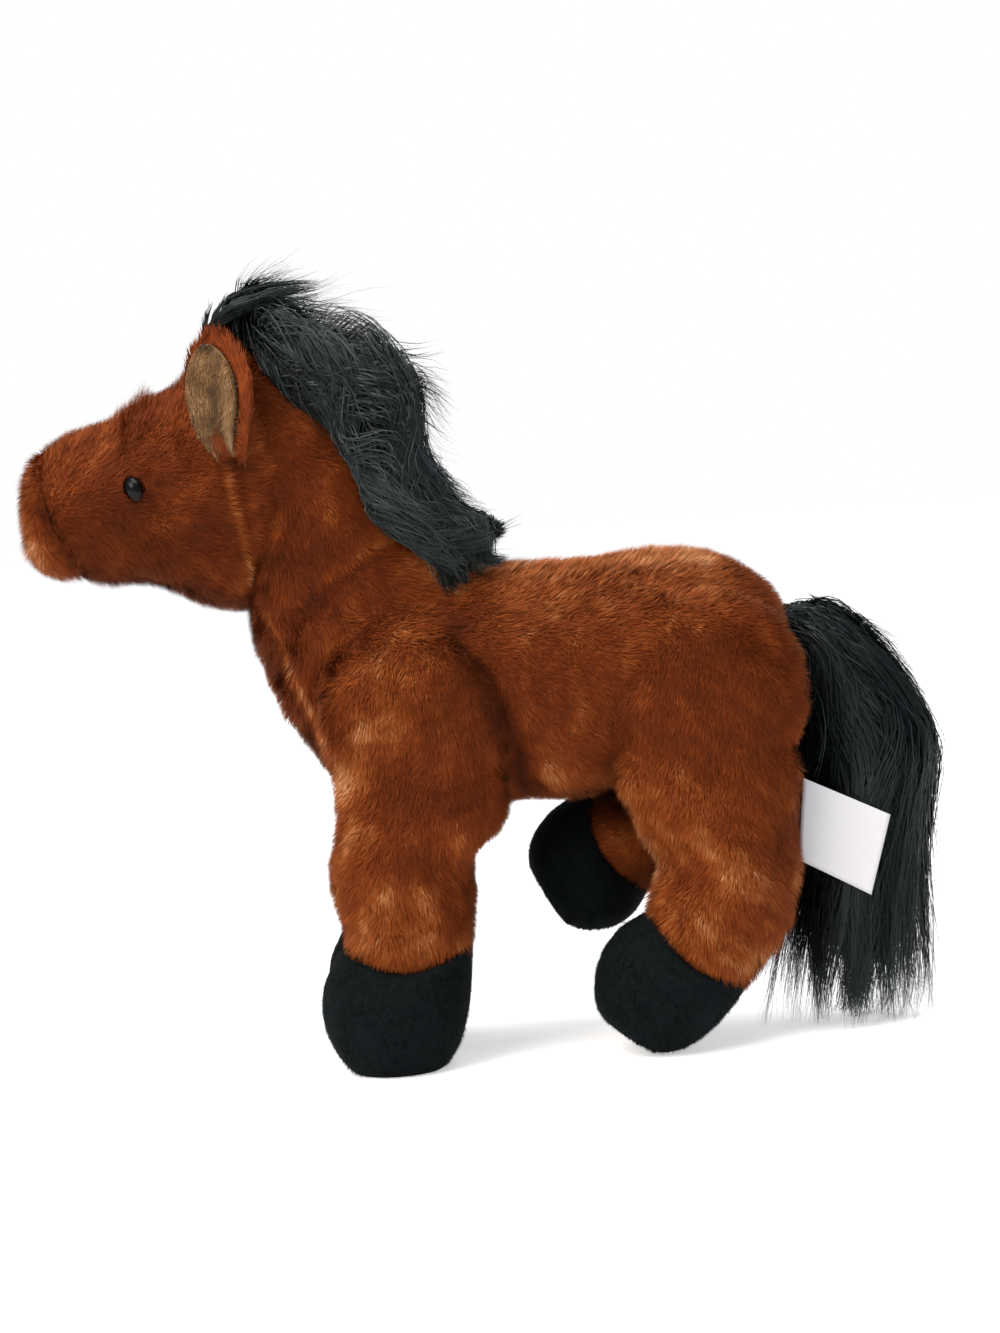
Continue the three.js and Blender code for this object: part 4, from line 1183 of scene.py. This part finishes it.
def lifted_off(cover, points, clearance):
    """Points that lie under a cover's face are moved out to lie on it, but not the first two of a
    strand, which stay in the cover as its root."""
    tree = surface_tree(cover)
    for number in range(len(points)):
        if number % (strand_segments + 1) < 2:
            continue
        point = Vector(points[number])
        place, normal, _, _ = tree.find_nearest(point)
        if (point - place).dot(normal) < clearance:
            points[number] = place + normal * clearance
    return points


def long_pile(
    name,
    rings,
    locks,
    strands,
    starts,
    reaches,
    spread,
    wave,
    drift,
    seed,
    sewn_line=None,
    lies_on=None,
    front_edge=None,
    side_limit=40,
):
    """Strands that flow along a form through rings of (x, y, z, angle, depth, width). Each belongs to
    a lock: it leaves the sewn line at starts, a share of the way along, and runs for one of reaches.
    Locks close to points, flick out by spread at their ends and drift off the form by drift mm, but
    none passes side_limit."""
    dice = np.random.default_rng(seed)
    rows = rounded_path(rings, 12)
    count = strands
    lock_start = dice.uniform(*starts, locks)
    lock_turn = dice.uniform(-math.pi, math.pi, locks)
    lock_out = np.sqrt(dice.uniform(0.3, 1.0, locks))
    lock_reach = dice.uniform(*reaches, locks)
    lock_bend = dice.normal(scale=0.35, size=locks)
    lock_wave = dice.uniform(0, 2 * math.pi, locks)
    lock_flick = np.abs(dice.normal(scale=spread * 0.4, size=locks)) * (lock_out > 0.7)
    wisps = dice.random(locks) < wisp_share
    lock_flick[wisps] += dice.uniform(0.8, 1.8, wisps.sum()) * spread
    lock_tone = dice.normal(scale=0.75, size=locks)
    of_lock = dice.integers(0, locks, count)
    start = np.clip(lock_start[of_lock] + dice.normal(scale=0.03, size=count), *starts)
    loose_turn = dice.normal(scale=0.22, size=count)
    out = np.clip(lock_out[of_lock] + dice.normal(scale=0.11, size=count), 0.05, 1.05)
    reach = np.minimum(lock_reach[of_lock] * dice.uniform(0.65, 1.08, count), 1 - start)
    bend = lock_bend[of_lock] + dice.normal(scale=0.07, size=count)
    flick = lock_flick[of_lock] * dice.uniform(0.85, 1.1, count)
    stray = dice.random(count) < stray_share
    flick[stray] += dice.uniform(0.1, 1.0, stray.sum()) * spread
    v = np.linspace(0, 1, strand_segments + 1)[None, :]
    along = np.clip(start[:, None] + reach[:, None] * v, 0, 1)
    place = along * (len(rows) - 1)
    low = np.minimum(place.astype(int), len(rows) - 2)
    share = (place - low)[:, :, None]
    at = rows[low] * (1 - share) + rows[low + 1] * share
    angle = np.radians(at[:, :, 3])
    ease = np.clip(v / rooted_share, 0, 1)
    ease = ease * ease * (3 - 2 * ease)
    tip_draw = 1 + flick[:, None] * np.clip((v - flick_start) / (1 - flick_start), 0, 1) ** 2
    gather = 1 - closing * v**0.7
    swirl = lock_turn[of_lock][:, None] + loose_turn[:, None] * (0.3 + 0.7 * gather)
    swirl += bend[:, None] * v + 0.16 * np.sin(v * 8 + lock_wave[of_lock][:, None])
    loose_out = out[:, None] * ease * tip_draw
    lock_mean = lock_out[of_lock][:, None] * ease * tip_draw
    radius = lock_mean + (loose_out - lock_mean) * gather / 0.8
    deep = np.cos(swirl) * radius
    wide = np.sin(swirl) * radius
    if sewn_line is None:
        deep = deep + dice.normal(scale=0.3, size=count)[:, None] * (1 - ease)
        wide = wide + dice.normal(scale=0.3, size=count)[:, None] * (1 - ease)
    half_deep, half_wide = at[:, :, 4] / 2, at[:, :, 5] / 2
    ripple = wave * v * np.sin(v * 11 + dice.uniform(0, 6.3, count)[:, None])
    deep_mm = deep * half_deep + ripple
    wide_mm = wide * half_wide + wave * v * np.sin(v * 9 + dice.uniform(0, 6.3, count)[:, None])
    points = np.stack(
        [at[:, :, 0] + deep_mm * np.cos(angle), at[:, :, 1] + wide_mm, at[:, :, 2] + deep_mm * np.sin(angle)],
        axis=2,
    )
    if sewn_line is not None:
        line = np.array(sewn_line, float)
        shares = np.linspace(0, 1, len(line))
        root = [np.interp(start, shares, line[:, column]) for column in (0, 1)]
        root = np.stack([root[0], dice.normal(scale=crest_scatter, size=count), root[1]], axis=1)[:, None, :]
        points = points * ease[:, :, None] + root * (1 - ease[:, :, None])
    lock_drift = dice.normal(scale=drift, size=(locks, 1, 3)) * (1 - 0.7 * lock_start)[:, None, None]
    frizz = dice.normal(scale=0.1 * drift, size=(count, 1, 3)) * (1 + 3.5 * stray[:, None, None])
    points = points + lock_drift[of_lock] * (v**1.6)[:, :, None] + frizz * (v**1.8)[:, :, None]
    if front_edge is not None:
        points = held_behind(points, front_edge, dice.uniform(0, front_scatter, count)[:, None])
    if lies_on is not None:
        points = lifted_off(lies_on, points.reshape(-1, 3), hair_clearance).reshape(points.shape)
    flow = unit(np.gradient(points, axis=1))
    outward = np.stack([deep_mm * np.cos(angle), wide_mm, deep_mm * np.sin(angle)], axis=2)
    outward += dice.normal(scale=1.5, size=(count, 1, 3))
    outward = unit(outward - flow * (outward * flow).sum(axis=2, keepdims=True))
    across = unit(np.cross(flow, outward) + outward * dice.normal(scale=0.45, size=(count, 1, 1)))
    taper = np.clip((1 - v) / thin_share, 0.12, 1)[:, :, None]
    half = across * (strand_width * dice.uniform(0.7, 1.25, count)[:, None, None] / 2) * taper
    points[:, :, 2] = np.maximum(points[:, :, 2], hair_floor)
    points[:, :, 1] = np.clip(points[:, :, 1], -side_limit, side_limit)
    corners = np.stack([points - half, points + half], axis=2).reshape(count, -1, 3)
    strip = [(2 * step, 2 * step + 1, 2 * step + 3, 2 * step + 2) for step in range(strand_segments)]
    facing = outward + across * dice.normal(scale=0.3, size=(count, 1, 1))
    facing = np.repeat(facing[:, :, None, :], 2, axis=2).reshape(-1, 3)
    tone = np.round(middle_black + lock_tone[of_lock] + dice.normal(scale=0.7, size=count))
    numbers = np.repeat(np.clip(tone, 0, len(hair_blacks) - 1).astype(int), strand_segments)
    corners_each = 2 * (strand_segments + 1)
    corners, normals = corners.reshape(-1, 3), unit(facing).tolist()
    return strand_mesh(name, corners, strip, corners_each, count, numbers, normals, hair_blacks)


mane_rings = [
    (-64, 0, 199, 112, 20, 18),
    (-60, 0, 200, 104, 27, 26),
    (-55.5, 0, 197, 92, 38, 34),
    (-45, 0, 190, 76, 42, 40),
    (-34.3, 0, 182.3, 62, 46, 45),
    (-27.2, 0, 171.6, 51, 44, 47),
    (-25, 0, 156, 34, 33, 46),
    (-18, 0, 146.5, 26, 32, 43),
    (-8, 0, 139.5, 32, 29, 40),
    (-3, 0, 133.5, 38, 27, 34),
]
mane_edge = [
    (-68, 207), (-61, 195), (-55, 184), (-39, 172.5), (-32.5, 160.5), (-28.5, 148), (-19, 141.5), (-13, 130)
]
crest_line = [
    (-64, 201), (-55, 196), (-45, 187), (-35, 176), (-27, 163), (-21, 152), (-14, 142), (-8, 135)
]
for part in (1, 2):
    mane = long_pile(
        f"mane_hair_{part}",
        mane_rings,
        locks=75,
        strands=8600,
        starts=(0.0, 0.9),
        reaches=(0.16, 0.42),
        spread=0.26,
        wave=0.6,
        drift=3.6,
        seed=160 + part,
        sewn_line=crest_line,
        lies_on=body_cover,
        front_edge=mane_edge,
    )
    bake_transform(mane)
    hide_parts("mane")

forelock_rings = [
    (-66, 0, 189, 10, 9, 14),
    (-68.5, 0, 196, 15, 8, 15),
    (-69, 0, 202, 40, 8, 16),
    (-65.5, 0, 207.5, 75, 8, 16),
    (-58, 0, 211, 105, 8, 16),
    (-50, 0, 213, 100, 7, 14),
    (-40, 0, 213.5, 90, 5, 10),
]
forelock = long_pile(
    "forelock_hair",
    forelock_rings,
    locks=22,
    strands=1100,
    starts=(0.0, 0.2),
    reaches=(0.3, 0.95),
    spread=0.15,
    wave=0.5,
    drift=1.8,
    seed=171,
)
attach(forelock, "head")
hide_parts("forelock")

tail_rings = [
    (79, 0, 115, 40, 11, 12),
    (87, 0, 113, 40, 18, 18),
    (94, 0, 103, 31, 26, 22),
    (99.5, 0, 90, 19, 33, 24),
    (103, 0, 75.2, 12, 37, 25),
    (100.5, 0, 58, 8, 33, 24),
    (98, 0, 41, 4, 32, 23),
    (96.5, 0, 25.2, 2, 33, 22),
    (95, 0, 10.6, 0, 33, 21),
    (94, 0, -1, 0, 30, 20),
]
for part in (1, 2):
    tail = long_pile(
        f"tail_hair_{part}",
        tail_rings,
        locks=80,
        strands=7000,
        starts=(0.0, 0.22),
        reaches=(0.3, 1.0),
        spread=0.22,
        wave=0.9,
        drift=4.5,
        seed=180 + part,
        side_limit=14.5,
    )
    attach(tail, "tail")
    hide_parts("tail")


# Label. A white satin ribbon, folded and caught by one edge in the back seam of the left thigh. It
# droops backward and curls a little towards its free edge.
label_width, label_height = 26, 22.5
label_thickness = 0.35
label_corner = (83.3, -17.35, 71.5)
label_droop, label_seam_lean, label_free_lean = 27, 6.5, 17
label_curl = 0.9
# Satin has fine ribs and a soft gleam along them. They are drawn wider apart than the real threads,
# so that they show.
thread_spacing = 0.35
rib_height = 0.1
rib_scale = 1 / (thread_spacing * mm * 2 * math.pi) * 2
satin, tree = new_material("white_satin_ribbon")
places = add_node(tree, "ShaderNodeTexCoord")
ribs = add_node(
    tree,
    "ShaderNodeTexWave",
    {"bands_direction": "X"},
    {"Vector": places.outputs["Object"], "Scale": rib_scale, "Distortion": 0.4},
)
tones = add_node(
    tree,
    "ShaderNodeMix",
    {"data_type": "RGBA"},
    {0: ribs.outputs["Fac"], 6: from_hex("#bebec3"), 7: from_hex("#d2d2d6")},
)
raised = add_node(
    tree,
    "ShaderNodeBump",
    inputs={"Strength": 0.15, "Distance": rib_height * mm, "Height": ribs.outputs["Fac"]},
)
gleam = add_node(
    tree,
    "ShaderNodeBsdfPrincipled",
    inputs={
        "Base Color": tones.outputs[2],
        "Roughness": 0.38,
        "Normal": raised.outputs[0],
        "Sheen Weight": 0.2,
    },
)
add_node(tree, "ShaderNodeOutputMaterial", inputs={"Surface": gleam.outputs[0]})


def label_step(place, length, angle):
    """The place reached in the side view by going a length at an angle in degrees."""
    turn = math.radians(angle)
    return place + length * np.array([math.cos(turn), math.sin(turn)])


top = np.array([label_corner[0], label_corner[2]])
far_top = label_step(top, label_width, -label_droop)
far_bottom = label_step(far_top, label_height, -90 - label_free_lean)
bottom = label_step(top, label_height, -90 - label_seam_lean)
columns, rows = 21, 17
points = []
for row in range(rows):
    down = row / (rows - 1)
    for column in range(columns):
        along = column / (columns - 1)
        upper = (1 - along) * top + along * far_top
        lower = (1 - along) * bottom + along * far_bottom
        x, z = (1 - down) * upper + down * lower
        y = label_corner[1] + label_curl * math.sin(along * 2.6 + down * 0.8) * along
        points.append((x, y, z))
label = link_mesh("label_ribbon", points, grid_faces(rows, columns))
label.data.shade_smooth()
label.data.materials.append(satin)
thick = label.modifiers.new("thickness", "SOLIDIFY")
thick.thickness = label_thickness * mm
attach(label, "label")
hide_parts("label")
